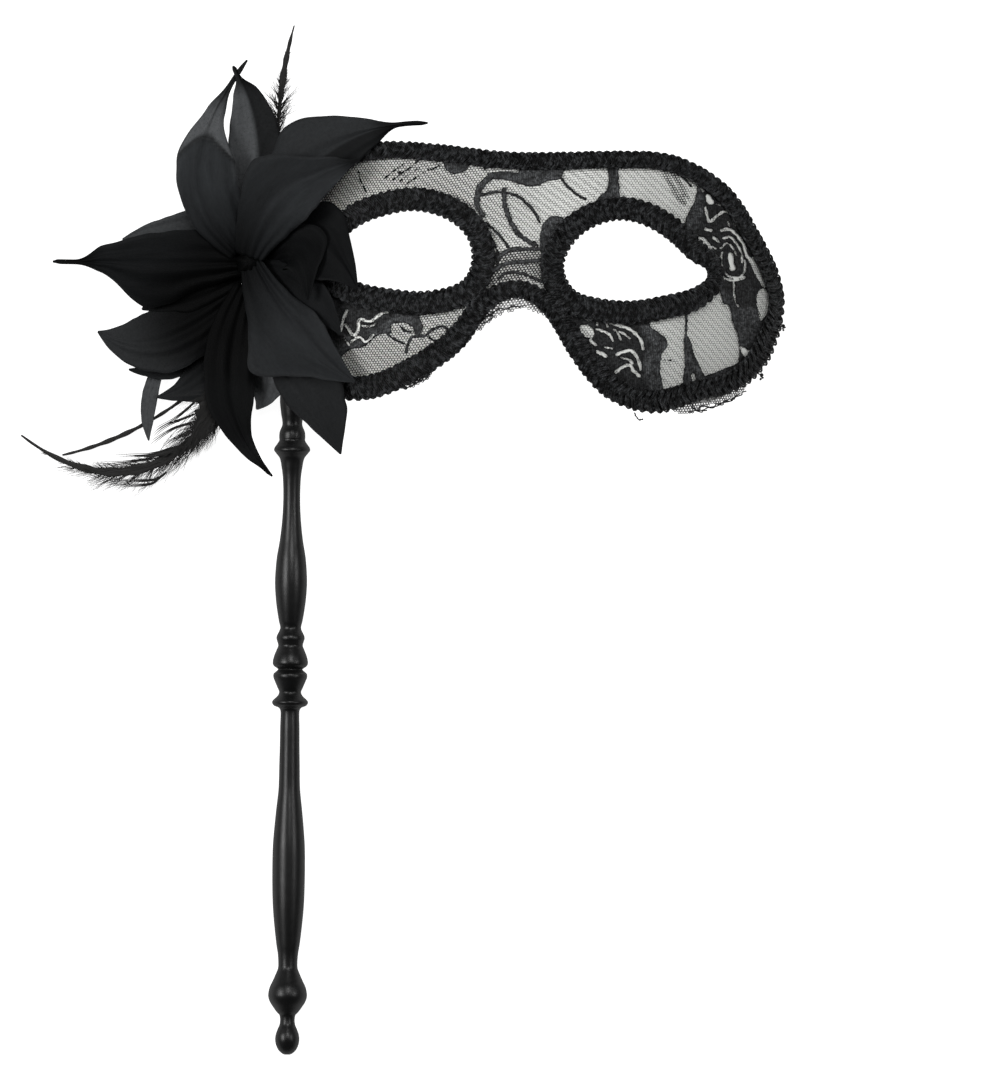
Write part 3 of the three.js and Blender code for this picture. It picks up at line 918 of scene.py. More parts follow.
def netMesh():
    # The hexagons' rims, each a ring of six cells, with the corners that they share joined.
    outer, inner = netCells()
    ring = np.concatenate([outer, inner], axis=1).reshape(-1, 2)
    k = np.arange(6)
    rim = np.stack([k, (k + 1) % 6, 6 + (k + 1) % 6, 6 + k], axis=1)[None]
    faces = (np.arange(len(outer))[:, None, None] * 12 + rim).reshape(-1, 4)
    rounded = np.round(ring * 200).astype(np.int64)
    _, first, back = np.unique(rounded, axis=0, return_index=True, return_inverse=True)
    flat = ring[first]
    lift = lace["lift"] + 0.05 * np.sin(flat[:, 0] * 2.1) * np.sin(flat[:, 1] * 2.7)
    return flat, onFace(flat, lift), back.reshape(-1)[faces]


def motifOutside(p):
    # The woven motifs end short of the mask's edge and of the raw strips.
    return np.maximum.reduce([-motifField(p), outsideMask(p) + 0.5, 0.2 - outsideRaw(p)])


def motifMesh():
    # The motifs are cut from a fine grid, with a cord raised along their edges and a slight weave.
    flat, cells = cutCells(*faceGrid(lace["motifPitch"]), motifOutside)
    depth = motifField(flat)
    rise = lace["cordRise"] * np.exp(-(((depth - lace["cordIn"]) / lace["cordReach"]) ** 2))
    weave = 0.03 * np.sin(flat[:, 0] * 5.0) * np.sin(flat[:, 1] * 6.0)
    return flat, onFace(flat, lace["motifLift"] + rise + weave), cells, depth


def buildLace():
    # Net and motifs in one mesh. Its fields say where the motifs are, how far inside them a point
    # lies, less on a dark ground, and where the net is raw and pale.
    netFlat, netPoints, netFaces = netMesh()
    motifFlat, motifPoints, cells, depth = motifMesh()
    flat = np.vstack([netFlat, motifFlat])
    faces = np.vstack([netFaces, cells + len(netPoints)])
    ground = softStep(fieldOf(motifFlat, "dark"), -0.5, 1.0)
    lit = softStep(depth, -0.05, 0.45) * (1 - lace["groundDark"] * ground)
    none = np.zeros(len(netFlat))
    motif = np.concatenate([none, np.ones(len(motifFlat))])
    pale = softStep(-outsideRaw(flat), -0.2, 0.2) * (1 - motif)
    fields = {"motif": motif, "inner": np.concatenate([none, lit]), "pale": pale}
    points = maskToRow(np.vstack([netPoints, motifPoints]))
    return makePiece(
        "laceCover", points, faces.tolist(), laceFinish(), ["lace_cover"], flat, fields,
    )


def laceFinish():
    # Black thread: the net plain, the motifs closely darned with a streak along the stitch.
    finish, tree, shader = newFinish(
        "laceThread",
        {"Roughness": 0.72, "Specular IOR Level": 0.08, "Sheen Weight": 0.03, "Sheen Roughness": 0.4},
    )
    place = coordinates(tree, "UV")
    stitch = threads(tree, place, 0.62, "X", 3.0)
    speck = spread(tree, noise(tree, place, 1.1, 3.0, 0.75), -1.5, 2.3)
    cloud = noise(tree, place, 0.34, 3.0)
    pattern = maths(tree, "MULTIPLY", spread(tree, stitch, 0.35, 1.0), speck, True)
    light = mixed(tree, pattern, grey(0.012, -0.03), grey(0.108, -0.04))
    dark = mixed(tree, pattern, grey(0.002), grey(0.024, -0.03))
    lit = maths(tree, "MULTIPLY", painted(tree, "inner"), spread(tree, cloud, -0.9, 2.2), True)
    woven = mixed(tree, lit, dark, light)
    raw = mixed(tree, speck, grey(0.03), grey(0.42))
    net = mixed(tree, painted(tree, "pale"), grey(lace["netTone"]), raw)
    tree.links.new(mixed(tree, painted(tree, "motif"), net, woven), shader.inputs["Base Color"])
    bumped(tree, shader, pattern, 0.6, 0.00015)
    return finish


laceCover = buildLace()
print("stage: lace")


# Gimp braid: three strands of paired cord, plaited flat over a narrow tape

gimp = {
    "rimPitch": 7.2,
    "eyePitch": 8.0,
    "step": 0.37,
    "loopPoints": 900,
    "smoothing": 60,     # rounds of averaging that soften the braid's line
    "cordRadius": 0.36,
    "cordApart": 0.36,
    "overUnder": 0.40,
    "nub": 0.14,         # how much the wound thread swells the cord, each nubPitch
    "nubPitch": 1.3,
    "wander": 0.22,      # how unevenly the strands are laid
    "sides": 6,
    "rimWidths": (8.8, 6.4),  # along the cheeks and along the brow
    "cheekFrom": (-25, 5),    # the heights where the cheeks end and the brow begins
    "rimOut": 0.15,
    "cheekShift": 0.95,  # how much farther out the rim braid sits along the cheeks
    "tuck": 3.9,         # how much farther in, and how much narrower, where the lace is torn
    "tuckNarrow": 1.1,
    "tuckAt": (66, 12),  # middle and reach of that stretch, and the height it lies below
    "tuckBelow": -20,
    "eyeWidth": 8.6,
    "cornerNarrow": 2.4,  # how much narrower the braid is round the outer corner of an eye
    "cornerAt": (70, 7),
    "standOff": 0.45,    # share of the rim braid's sideways stand off a slope that is taken back
    "eyeOut": 4.3,
    "eyeDown": 0.4,
    "seat": 2.05,        # height of the strands above the face
    "tapeShare": 0.43,   # half the tape's width as a share of the braid's
    "tapeHigh": 0.28,
    "tapeUnder": 0.62,
    "tapeTooth": 1.45,
}


def gimpFinish():
    # Cord wound with thread: slanting turns, painted glints in lighter specks and slightly uneven dye.
    finish, tree, shader = newFinish("gimpCord", {"Specular IOR Level": 0.13})
    turns = threads(tree, coordinates(tree, "UV", turn=28), 0.42, "X", 0.6)
    cloud = noise(tree, coordinates(tree, "UV"), 0.6, 4.0)
    tone = maths(tree, "MULTIPLY", turns, cloud)
    speckle = spread(tree, noise(tree, coordinates(tree, "Object"), 620.0, 4.0, 0.75), -3.8, 4.3)
    cord = mixed(tree, tone, grey(0.0002), grey(0.004, -0.03))
    # The lighter specks along the turns are painted glints on the cord.
    lit = maths(tree, "MULTIPLY", speckle, turns, True)
    tree.links.new(mixed(tree, lit, cord, grey(0.062, -0.05)), shader.inputs["Base Color"])
    bumped(tree, shader, turns, 0.8, 0.00018)
    tree.links.new(spread(tree, cloud, 0.38, 0.6), shader.inputs["Roughness"])
    return finish


gimpMaterial = gimpFinish()


def braidWidth(spot, aroundEye):
    # From the first width along the cheeks to the second along the brow, and less where the rim's
    # lace is torn or at an eye's outer corner. Also how far the place lies down the cheeks, and how
    # far it lies in the narrow stretch.
    low = 1 - softStep(spot[:, 1], *gimp["cheekFrom"])
    if aroundEye:
        middle, reach = gimp["cornerAt"]
        narrow = np.exp(-(((np.abs(spot[:, 0]) - middle) / reach) ** 2))
        return gimp["eyeWidth"] - gimp["cornerNarrow"] * narrow, low, narrow
    middle, reach = gimp["tuckAt"]
    cheek, brow = gimp["rimWidths"]
    narrow = np.exp(-(((spot[:, 0] - middle) / reach) ** 2)) * (spot[:, 1] < gimp["tuckBelow"])
    return brow + (cheek - brow) * low - gimp["tuckNarrow"] * narrow, low, narrow


def braidLine(points, aroundEye):
    # The outline moved in or out and softened, at even steps. Seen from above, the braid keeps its
    # place although it stands off a slope. Also its width at each step, and its length.
    width, low, narrow = braidWidth(loopOf(points, gimp["loopPoints"]), aroundEye)
    if aroundEye:
        outwards = gimp["eyeOut"] - 0.5 * gimp["cornerNarrow"] * narrow
    else:
        outwards = gimp["rimOut"] + gimp["cheekShift"] * low - gimp["tuck"] * narrow - 0.5 * width
    line = loopOf(points, gimp["loopPoints"], outwards)
    for _ in range(gimp["smoothing"]):
        line = 0.5 * line + 0.25 * (np.roll(line, 1, axis=0) + np.roll(line, -1, axis=0))
    length = np.linalg.norm(np.roll(line, -1, axis=0) - line, axis=1).sum()
    line = evenly(line, int(length / gimp["step"]), True)
    width, _, _ = braidWidth(line, aroundEye)
    share, down = (1.0, gimp["eyeDown"]) if aroundEye else (gimp["standOff"], 0.0)
    line = line - share * gimp["seat"] * faceNormal(line[:, 0], line[:, 1])[:, :2] - [0.0, down]
    return line, width, length


def plait(points, node, aroundEye):
    # Each strand swings across the braid as a sine and rises and dips twice as fast, so that it
    # passes over one neighbour and under the other. Its two cords lie side by side, over a tape
    # with uneven teeth.
    flat, width, length = braidLine(points, aroundEye)
    line = onFace(flat, gimp["seat"])
    normal = faceNormal(flat[:, 0], flat[:, 1])
    along = around(line, True)
    side = unit(np.cross(along, normal))
    slant = np.clip(1 / np.maximum(np.linalg.norm(side[:, :2], axis=1), 0.4), 1.0, 1.35)[:, None]
    turns = round(length / (gimp["eyePitch"] if aroundEye else gimp["rimPitch"]))
    phase = np.arange(len(line)) / len(line) * 2 * np.pi * turns
    swing = width / 2 - gimp["cordRadius"] - gimp["cordApart"]
    rate = 2 * np.pi * turns / length
    beats = round(length / gimp["nubPitch"])
    parts = []
    for strand in range(3):
        t = phase + strand * 2 * np.pi / 3 + gimp["wander"] * np.sin(phase / turns * 17 + 2 * strand)
        slope = swing * rate * np.cos(t)
        lean = np.sqrt(1 + slope ** 2)
        height = (gimp["overUnder"] * np.sin(2 * t))[:, None]
        for twin in (-1, 1):
            across = (swing * np.sin(t) + twin * gimp["cordApart"] / lean)[:, None]
            ahead = (-twin * gimp["cordApart"] * slope / lean)[:, None]
            cord = line + side * across * slant + along * ahead + normal * height
            thick = 1 + gimp["nub"] * np.sin(phase / turns * beats + 2 * strand + twin)
            thick = gimp["cordRadius"] * thick
            parts.append(tube(cord, normal, thick, thick, gimp["sides"], True))
    ragged = 0.6 + 0.4 * np.sin(phase / turns * 23 + 1.3) * np.sin(phase / turns * 61)
    teeth = 1 + 0.05 * ragged * np.sin(phase / turns * round(length / gimp["tapeTooth"]))
    half = gimp["tapeShare"] * width * slant[:, 0] * teeth
    parts.append(tube(line - normal * gimp["tapeUnder"], normal, half, gimp["tapeHigh"], 8, True))
    shape, faces, uv = joined(parts)
    makePiece(pieceName(node), maskToRow(shape), faces, gimpMaterial, [node], uv)


plait(rimPoints, "rim_braid", False)
plait(rightEyePoints, "right_eye_braid", True)
plait(leftEyePoints, "left_eye_braid", True)
print("stage: braid")


# Loose threads and knots that stand out past the braid

frays = {"radius": 0.24, "lift": 1.2, "knotRadius": 0.6, "knotLift": 2.0, "lowest": 0.3}

looseThreads = [
    [(686, 411), (697, 409.5), (712, 405.5), (726, 400.5), (738, 394), (743, 390)],
    [(690, 404), (695, 409), (701, 405), (709, 407), (718, 402), (728, 400), (733, 396)],
    [(684, 398), (689, 403), (693, 409), (699, 411), (704, 409)],
    [(712, 402), (719, 404), (724, 399), (731, 398), (737, 392)],
    [(633, 412), (635, 416), (638, 419), (641, 418)],
    [(402, 384), (411, 383), (420, 379), (428, 375), (434, 370)],
    [(405, 388), (413, 385), (419, 381), (426, 379), (431, 373)],
    [(476, 328), (482, 323), (488, 317), (495, 313), (501, 308)],
    [(484, 324), (490, 321), (494, 317), (491, 315)],
    [(500, 309), (507, 310), (513, 307), (520, 308)],
    [(754, 371), (758, 374), (760, 377), (757, 379)],
    [(775, 323), (779, 324), (782, 326.5), (780, 330)],
]
knots = [(779, 325), (757.5, 374), (407.5, 386.5), (469, 341), (402, 174)]


def buildFrays():
    # Each thread is a thin tube through its points that bobs as a sine, and each knot a small
    # uneven ball of rings.
    parts = []
    for row in looseThreads:
        line = throughPoints(fromPhoto(row), np.linspace(0, 1, 8 * len(row)))
        bob = 0.5 * np.sin(np.arange(len(line)) * 0.7)
        parts.append(tube(onFace(line, frays["lift"] + bob), skyward, frays["radius"], frays["radius"], 6))
    a = np.linspace(0, np.pi, 9)
    rings = np.stack([0 * a, 0 * a, -frays["knotRadius"] * np.cos(a)], axis=1)
    girth = frays["knotRadius"] * np.maximum(np.sin(a), 0.08) * (1 + 0.15 * np.sin(5 * a))
    for centre in onFace(fromPhoto(knots), frays["knotLift"]):
        parts.append(tube(centre + rings, northward, girth, girth, 10))
    shape, faces, uv = joined(parts)
    shape = maskToRow(shape)
    shape[:, 2] = np.maximum(shape[:, 2], frays["lowest"])
    return makePiece("looseThreads", shape, faces, gimpMaterial, (), uv)


looseThread = buildFrays()
print("stage: loose threads")


# Stick, turned from one profile in two lengths

stick = {
    "x": -76.15,
    "height": 6.7,
    "lean": -0.48,
    "sides": 96,
    "upper": [
        (-24, 3.6), (-22, 4.2), (-8, 5), (8, 4.6), (20, 3.4), (28, 3.1), (34, 4), (39, 4.3), (43, 3.9),
        (47, 3.4), (49.5, 4.3), (51.4, 4.45), (52.4, 4.4), (53.6, 5.1), (54.8, 5.95), (55.8, 6.15), (57, 5.3),
        (58.5, 4.2), (61.9, 3.5), (65, 3.1), (70, 2.9), (75, 2.95), (80, 3.25), (86.4, 3.95), (92.5, 4.95),
        (98.6, 5.42), (102, 5.45), (107.8, 5), (113.9, 4.05), (116.3, 3.55), (117.6, 4), (119, 4.7),
        (120, 4.8), (121, 4.5), (122.3, 4.2), (123.8, 4.75), (125.8, 5.55), (127.8, 6), (128.7, 5.95),
        (129.4, 5.5), (129.9, 4.75), (130.25, 4.3),
    ],
    "lower": [
        (130.2, 4.1), (130.6, 4.25), (131.2, 4.9), (131.9, 5.65), (132.6, 5.8), (133.3, 5.72), (134, 5.45),
        (135.3, 4.9), (136.7, 4.3), (138, 3.75), (138.7, 3.85), (139.4, 4.25), (140.1, 4.95), (140.8, 5.7),
        (141.4, 6.1), (142.1, 6.05), (142.8, 5.5), (143.5, 3.85), (144.2, 3.35), (145, 3.2), (150, 3.3),
        (156.7, 3.37), (163, 3.5), (169, 3.6), (172, 3.75), (178.2, 4.42), (184.3, 5), (190.4, 5.45),
        (198, 5.58), (205.7, 5.5), (211.8, 5.25), (218, 4.7), (224.1, 3.98), (227.5, 3.45), (230.5, 3.27),
        (232.2, 3.35), (234.2, 4.1), (236.6, 5.15), (238.7, 6.13), (240.9, 6.6), (242.2, 6.55), (243.8, 6),
        (245.8, 4.7), (247.3, 3.6), (248.2, 2.75), (249.6, 2.5), (251.4, 2.65), (253, 3.3), (255, 3.98),
        (257, 4.1), (259, 3.6), (260.3, 2.85), (261.2, 1.9), (261.7, 1),
    ],
}


def stickFinish():
    # Gloss black plastic: cloudy specks of dust and fine scratches.
    finish, tree, shader = newFinish("blackGloss", {"Specular IOR Level": 0.19})
    place = coordinates(tree, "Object")
    speckle = noise(tree, place, 220.0, 5.0, 0.7)
    scratch = noise(tree, coordinates(tree, "Object", (4000, 260, 4000), 6), 1.0, 3.0)
    tree.links.new(mixed(tree, speckle, grey(0.0006), grey(0.003, -0.04)), shader.inputs["Base Color"])
    rim = addNode(tree, "ShaderNodeLayerWeight", {"Blend": 0.35}).outputs["Facing"]
    dull = maths(tree, "ADD", spread(tree, speckle, 0.26, 0.42), maths(tree, "MULTIPLY", rim, 0.5), True)
    tree.links.new(dull, shader.inputs["Roughness"])
    height = maths(tree, "ADD", maths(tree, "MULTIPLY", scratch, 0.5), speckle)
    bumped(tree, shader, height, 0.14, 0.0003)
    return finish


stickMaterial = stickFinish()


def turnStick(node, profile):
    # The profile is a smooth line of distance and radius, spun about the stick's own length.
    line = throughPoints(profile, np.linspace(0, 1, 7 * len(profile)))
    sides = stick["sides"]
    a = np.arange(sides) / sides * 2 * np.pi
    down = line[:, 0][:, None] + 0 * a[None]
    radius = np.maximum(line[:, 1], 0.3)[:, None]
    points = np.stack([radius * np.cos(a), -down, radius * np.sin(a)], axis=-1).reshape(-1, 3)
    faces = gridFaces(len(line), sides, False, True).tolist()
    last = (len(line) - 1) * sides
    faces.append(list(range(sides))[::-1])
    faces.append(list(range(last, last + sides)))
    uv = np.stack(np.broadcast_arrays(down, radius * a[None]), axis=-1).reshape(-1, 2)
    placed = turned(points, stick["lean"]) + np.array([stick["x"], 0.0, stick["height"]])
    makePiece(pieceName(node), toRow(placed), faces, stickMaterial, [node], uv)


turnStick("stick_upper", stick["upper"])
turnStick("stick_lower", stick["lower"])
print("stage: stick")


# Petals of stiffened organza, about the flower's heart

petal = {
    "heart": (-90.8, 8.2),
    "heartPixel": (250, 262),
    "rows": 66,
    "columns": 35,
    "thickness": 0.3,
    "ripple": 0.5,
    "ripples": 3.0,
    "gather": 0.5,
    "pleat": 0.22,
    "crease": 0.35,
    "curl": 0.5,
    "stripWidth": 0.75,
    "fullScale": 12.0,   # half width of a petal whose folds have their full height
    "lowest": 0.6,
    "shadeFrom": (-9, -3),  # middle of the painted shade round the heart
    "heartShade": 20.0,  # how far from there the cloth lies in painted shade
    "hollow": (-15, -17),  # middle of the painted shade in the hollow under the front petals
    "hollowShade": 23.0,
    "tipShade": 0.8,     # how dark a twisted tip is
    "hoodDrop": 1.0,     # how far the cloth drops behind a hood's edge
    "hemShade": 0.55,
    "leastFlat": 10.0,   # smallest size of a flat piece, and what its hem adds
    "hem": 1.0,
    "knot": (4.6, 6.5, 16.5),  # breadth, half height and height of the knot in the heart
}

# Each petal has the points of its middle line, its half widths to both sides, how thin its cloth is
# and how deep in painted shade it lies. It may have fold crests (place across, height and reach), a
# tilt, a cup, a twist, a strip or sheer cloth from some way along, a hood (way along and bow), or
# one side in painted shade (from where across, and how much). An outer petal stands clear of the
# painted shade in the hollow under the front ones, and an under petal stands for no solid.
petals = {
    "petal_right_upper_front": {
        "base": (0.7, 1.4, 22.5), "middle": (13.6, 21, 38), "tip": (37.5, 34.5, 46),
        "left": (11.5, 18.3, 8), "right": (7.2, 8.5, 5.6), "tilt": -0.3, "cup": -2,
        "crests": [(0.25, 1.4, 0.14)], "sheer": 0.1, "outer": True, "dark": 0.12, "strip": 0.97,
        "shaded": (0.25, 0.3),
    },
    "petal_right_lower_front": {
        "base": (0.3, 0.3, 20.5), "middle": (15.6, -24.8, 35), "tip": (35.9, -40.8, 43),
        "left": (6.5, 9.9, 6.5), "right": (7, 9.6, 14.6, 20, 12.6, 6.8, 3.4), "tilt": 0.42, "cup": -2,
        "crests": [(0.35, -0.9, 0.14), (-0.3, 0.9, 0.10)], "sheer": 0.15, "outer": True, "dark": 0.32,
    },
    "petal_top_front": {
        "base": (-3.4, 4, 18.5), "middle": (-15.8, 33.3, 25), "tip": (-1.0, 68.7, 25),
        "left": (8.3, 9.4, 3.6), "right": (11, 11, 3.2), "tilt": -0.2, "cup": -1.5,
        "crests": [(0.45, 0.8, 0.12)], "sheer": 0.1, "outer": True, "dark": 0.0, "strip": 0.87,
        "twist": 0.8, "hood": (0.62, 0.12),
    },
    "petal_left_front": {
        "base": (-1.5, 0.5, 15), "middle": (-34, 0, 17), "tip": (-67.3, 0.3, 12),
        "left": (9, 15.6, 3.4), "right": (11, 9.9, 5.6), "tilt": -0.15, "cup": -1.5,
        "crests": [(0.3, 1.0, 0.12), (-0.5, 0.6, 0.14)], "sheer": 0.05, "dark": 0.7, "strip": 0.85,
        "twist": -0.5, "sheerTip": 0.9,
    },
    "petal_bottom_front": {
        "base": (-1, -8, 11.5), "middle": (-6.1, -45.2, 15), "tip": (7.5, -72.8, 11),
        "left": (8, 7.5, 2.4), "right": (9, 9.2, 4.5), "tilt": 0.1, "cup": 1,
        "crests": [(-0.4, 0.7, 0.12)], "sheer": 0.1, "dark": 0.88, "strip": 0.95, "sheerTip": 0.78,
    },
    "petal_left_lower": {
        "base": (-3, -9, 8.5), "middle": (-28.9, -26.5, 10.5), "tip": (-52, -23.5, 8.5),
        "left": (9, 11, 7.2), "right": (9.5, 11.6, 8.6), "tilt": 0.05, "cup": -1,
        "crests": [(0.4, 0.9, 0.12), (-0.3, 0.6, 0.10)], "sheer": 0.5, "dark": 0.58,
    },
    "petal_top_back": {
        "base": (0, 7.5, 13), "middle": (1.2, 41.5, 20), "tip": (-5.8, 66.6, 28),
        "left": (7.6, 8.6, 4.9), "right": (7.5, 9.4, 6.0), "tilt": -0.1, "cup": 1,
        "crests": [(-0.2, 0.9, 0.12)], "sheer": 0.75, "outer": True, "dark": 0.0, "strip": 0.9,
        "twist": -0.6, "shaded": (-0.1, 0.8),
    },
    "petal_right_upper_back": {
        "base": (5, 12.6, 17.5), "middle": (28.9, 38.8, 34), "tip": (60.5, 47, 46),
        "left": (8.5, 12, 15.8, 12.6, 7.4, 3.2, 1.5), "right": (8.5, 9, 4.4), "tilt": -0.15, "cup": -1,
        "crests": [(0.35, 1.1, 0.10)], "sheer": 0.3, "outer": True, "dark": 0.42, "strip": 0.82, "twist": 0.5,
        "shaded": (-0.05, 0.38),
    },
    "petal_right_lower_back": {
        "base": (4.1, -19.7, 19), "middle": (17.5, -42.5, 28), "tip": (30.9, -65.3, 26),
        "left": (11, 13.5, 10.2), "right": (6, 7.5, 4.3), "tilt": 0.7,
        "crests": [(0.1, 0.9, 0.12), (-0.5, 0.6, 0.10)], "sheer": 0.35, "outer": True, "dark": 0.64,
    },
    "petal_right_middle": {
        "base": (2.7, 0, 10.5), "middle": (22.1, 4.1, 31.8), "tip": (36.4, -9.5, 41),
        "left": (8, 17, 7), "right": (8, 12, 8),
        "crests": [(0.1, 1.3, 0.16), (0.6, -0.9, 0.12)], "sheer": 0.1, "dark": 0.8,
    },
    "petal_right_inner": {
        "base": (6.8, 0, 19), "middle": (16, 2.4, 35), "tip": (19.7, -12.9, 38.5),
        "left": (6, 12, 5), "right": (5, 7, 4),
        "crests": [(0.0, 0.9, 0.12)], "sheer": 0.0, "dark": 0.84,
    },
    "petal_left_back": {
        "base": (-8.5, 10.3, 13), "middle": (-27, 10.6, 13), "tip": (-43.6, 7.8, 12),
        "left": (4, 3.4, 1.6), "right": (7.6, 5.2, 3.1), "tilt": -0.1,
        "crests": [(0.3, 0.4, 0.2)], "sheer": 0.6, "dark": 0.2,
    },
    "petal_bottom_left_back": {
        "base": (-8.5, -28.2, 5.5), "middle": (-18.7, -39.4, 6), "tip": (-32, -45.9, 5.2),
        "left": (7, 9, 4.5), "right": (6, 5, 2),
        "crests": [(0.2, 0.3, 0.2)], "sheer": 0.3, "dark": 0.6,
    },
    "petal_lower_left_tip": {
        "base": (-14, -30, 4), "middle": (-28.9, -36, 5), "tip": (-41.5, -36.4, 5),
        "left": (4, 4, 2), "right": (4, 4, 2),
        "crests": [(0.0, 0.3, 0.2)], "sheer": 0.3, "dark": 0.6,
    },
    "petal_hanging_strip": {
        "base": (-30, -32.5, 3.2), "middle": (-34.5, -46.5, 3.6), "tip": (-34.7, -60.7, 4.4),
        "left": (2.4, 2.7, 2.1), "right": (2.4, 2.7, 2.1),
        "sheer": 0.9, "outer": True, "dark": 0.35,
    },
    "petal_bottom_small": {
        "base": (4, -30, 11), "middle": (5.8, -41.8, 11), "tip": (2, -50, 10),
        "left": (4.5, 5.6, 3.2), "right": (4.5, 5.6, 4.0),
        "sheer": 1.0, "dark": 0.0,
    },
    "petal_under_left": {
        "base": (-2, -3, 9.5), "middle": (-22, -10, 10.5), "tip": (-37, -16, 9.3),
        "left": (6, 7, 4), "right": (6, 7, 4),
        "crests": [(0.0, 0.3, 0.2)], "sheer": 0.2, "dark": 0.6, "under": True,
    },
    "petal_under_right": {
        "base": (1, -2, 14), "middle": (17.5, -10, 31), "tip": (31, -25, 38.6),
        "left": (6, 7.5, 5), "right": (6, 7, 4), "tilt": 0.3,
        "crests": [(0.1, 0.5, 0.2)], "sheer": 0.1, "dark": 0.7, "under": True,
    },
}


def organzaFinish():
    # Stiff black organza: a fine plain weave, slubs along the warp, a soft sheen, painted shade that
    # darkens it towards the gathers and a painted lighter grey where one thin layer lets light through.
    finish, tree, shader = newFinish("blackOrganza", {"Specular IOR Level": 0.03})
    place = coordinates(tree, "UV")
    warp = threads(tree, place, 0.42, "X", 0.35)
    weft = threads(tree, place, 0.42, "Y", 0.35)
    weave = maths(tree, "MULTIPLY", warp, weft)
    slub = noise(tree, coordinates(tree, "UV", (0.25, 2.2, 1)), 1.0, 4.0)
    cloud = noise(tree, place, 0.10, 3.0)
    rough = spread(tree, noise(tree, coordinates(tree, "UV", (0.05, 0.22, 1)), 1.0, 4.0, 0.6), -0.5, 1.5)
    uneven = maths(tree, "ADD", maths(tree, "MULTIPLY", slub, 0.5), maths(tree, "MULTIPLY", rough, 0.5), True)
    body = mixed(tree, uneven, grey(0.003, -0.08), grey(0.019, -0.10))
    mottle = spread(tree, noise(tree, place, 0.8, 4.0, 0.8), -2.0, 3.0)
    # Sheer cloth is painted a lighter, mottled grey for the light that shows through it.
    thin = mixed(tree, maths(tree, "MULTIPLY", mottle, weave, True), grey(0.066, -0.04), grey(0.003, -0.04))
    cloth = mixed(tree, painted(tree, "sheer"), body, thin)
    # Painted shade takes the cloth towards black.
    shade = mixed(tree, painted(tree, "deep"), cloth, grey(0.0004))
    tree.links.new(shade, shader.inputs["Base Color"])
    tree.links.new(spread(tree, cloud, 0.5, 0.72), shader.inputs["Roughness"])
    height = maths(tree, "ADD", maths(tree, "MULTIPLY", weave, 0.5), maths(tree, "MULTIPLY", slub, 0.6))
    bumped(tree, shader, height, 0.45, 0.0002)
    return finish


organza = organzaFinish()


def fromHeart(points):
    # Flower and feathers are laid out about the flower's heart.
    return toRow(points + np.array([*petal["heart"], 0.0]))


def leafLine(shape, u):
    # A parabola through base, middle and tip, and its direction.
    start, centre, end = (np.array(shape[k], float) for k in ("base", "middle", "tip"))
    handle = 2 * centre - 0.5 * (start + end)
    u = u[:, None]
    point = (1 - u) ** 2 * start + 2 * u * (1 - u) * handle + u ** 2 * end
    return point, unit(2 * (1 - u) * (handle - start) + 2 * u * (end - handle))


def ribs(along):
    # Directions across a line, level and to its left.
    return unit(np.stack([-along[:, 1], along[:, 0], 0 * along[:, 0]], axis=1))


def leafWidth(shape, side, u):
    # A smooth line through the half widths of one side, which stand at equal steps along the
    # petal. Past its strip's start the tip narrows to a thin twisted strip.
    half = shape[side]
    width = throughPoints(list(enumerate([0.5 * half[0], *half, 0.25])), u)[:, 1]
    start = shape.get("strip", 1.2)
    narrow = softStep(u, start - 0.10, start + 0.04)
    return width * (1 - narrow) + np.minimum(width, petal["stripWidth"]) * narrow


def leafRise(shape, number, uu, vv, scale):
    # Height over the flat rib: the cup across, fold crests along the petal and a crease down its
    # middle, ripples at the sides, gathers at the base, soft pleats and a curl down at the edges.
    fade = np.sin(np.pi * uu) ** 0.8
    z = shape.get("cup", 0) * (vv ** 2 - 0.3) * np.sin(np.pi * np.minimum(1, uu + 0.1))
    for at, rise, wide in shape.get("crests", ()):
        z = z + rise * np.exp(-(((vv - at * (1 - 0.5 * uu)) / wide) ** 2)) * fade
    z = z - petal["crease"] * scale * np.exp(-((vv / 0.05) ** 2)) * fade
    swing = petal["ripple"] * scale * np.abs(vv) ** 3
    z = z + swing * np.sin(2 * np.pi * petal["ripples"] * uu + number * 1.7 + 2.4 * np.sign(vv)) * fade
    z = z + petal["gather"] * scale * np.sin(vv * 13 + number + 1.5 * uu) * (1 - uu) ** 1.8
    z = z + petal["pleat"] * scale * np.sin(vv * 7.5 + 2.3 * number + 2 * uu) * fade
    return z - petal["curl"] * scale * softStep(np.abs(vv), 0.9, 1.0) * fade


def leafSheer(shape, uu, vv, past):
    # How thin the cloth is, which the organza paints lighter for the light through it: the petal's own
    # value, and more at a sheer tip, along the sides and behind a hood's edge.
    sheer = np.full(uu.shape, shape["sheer"])
    if "sheerTip" in shape:
        tip = softStep(uu, shape["sheerTip"] - 0.12, shape["sheerTip"] + 0.12)
        sheer = np.maximum(sheer, 0.75 * tip)
    sheer = np.maximum(sheer, 0.35 * softStep(np.abs(vv), 0.75, 1.0) * softStep(uu, 0.2, 0.5))
    return np.maximum(sheer, 0.8 * softStep(past, 0.0, 0.02))


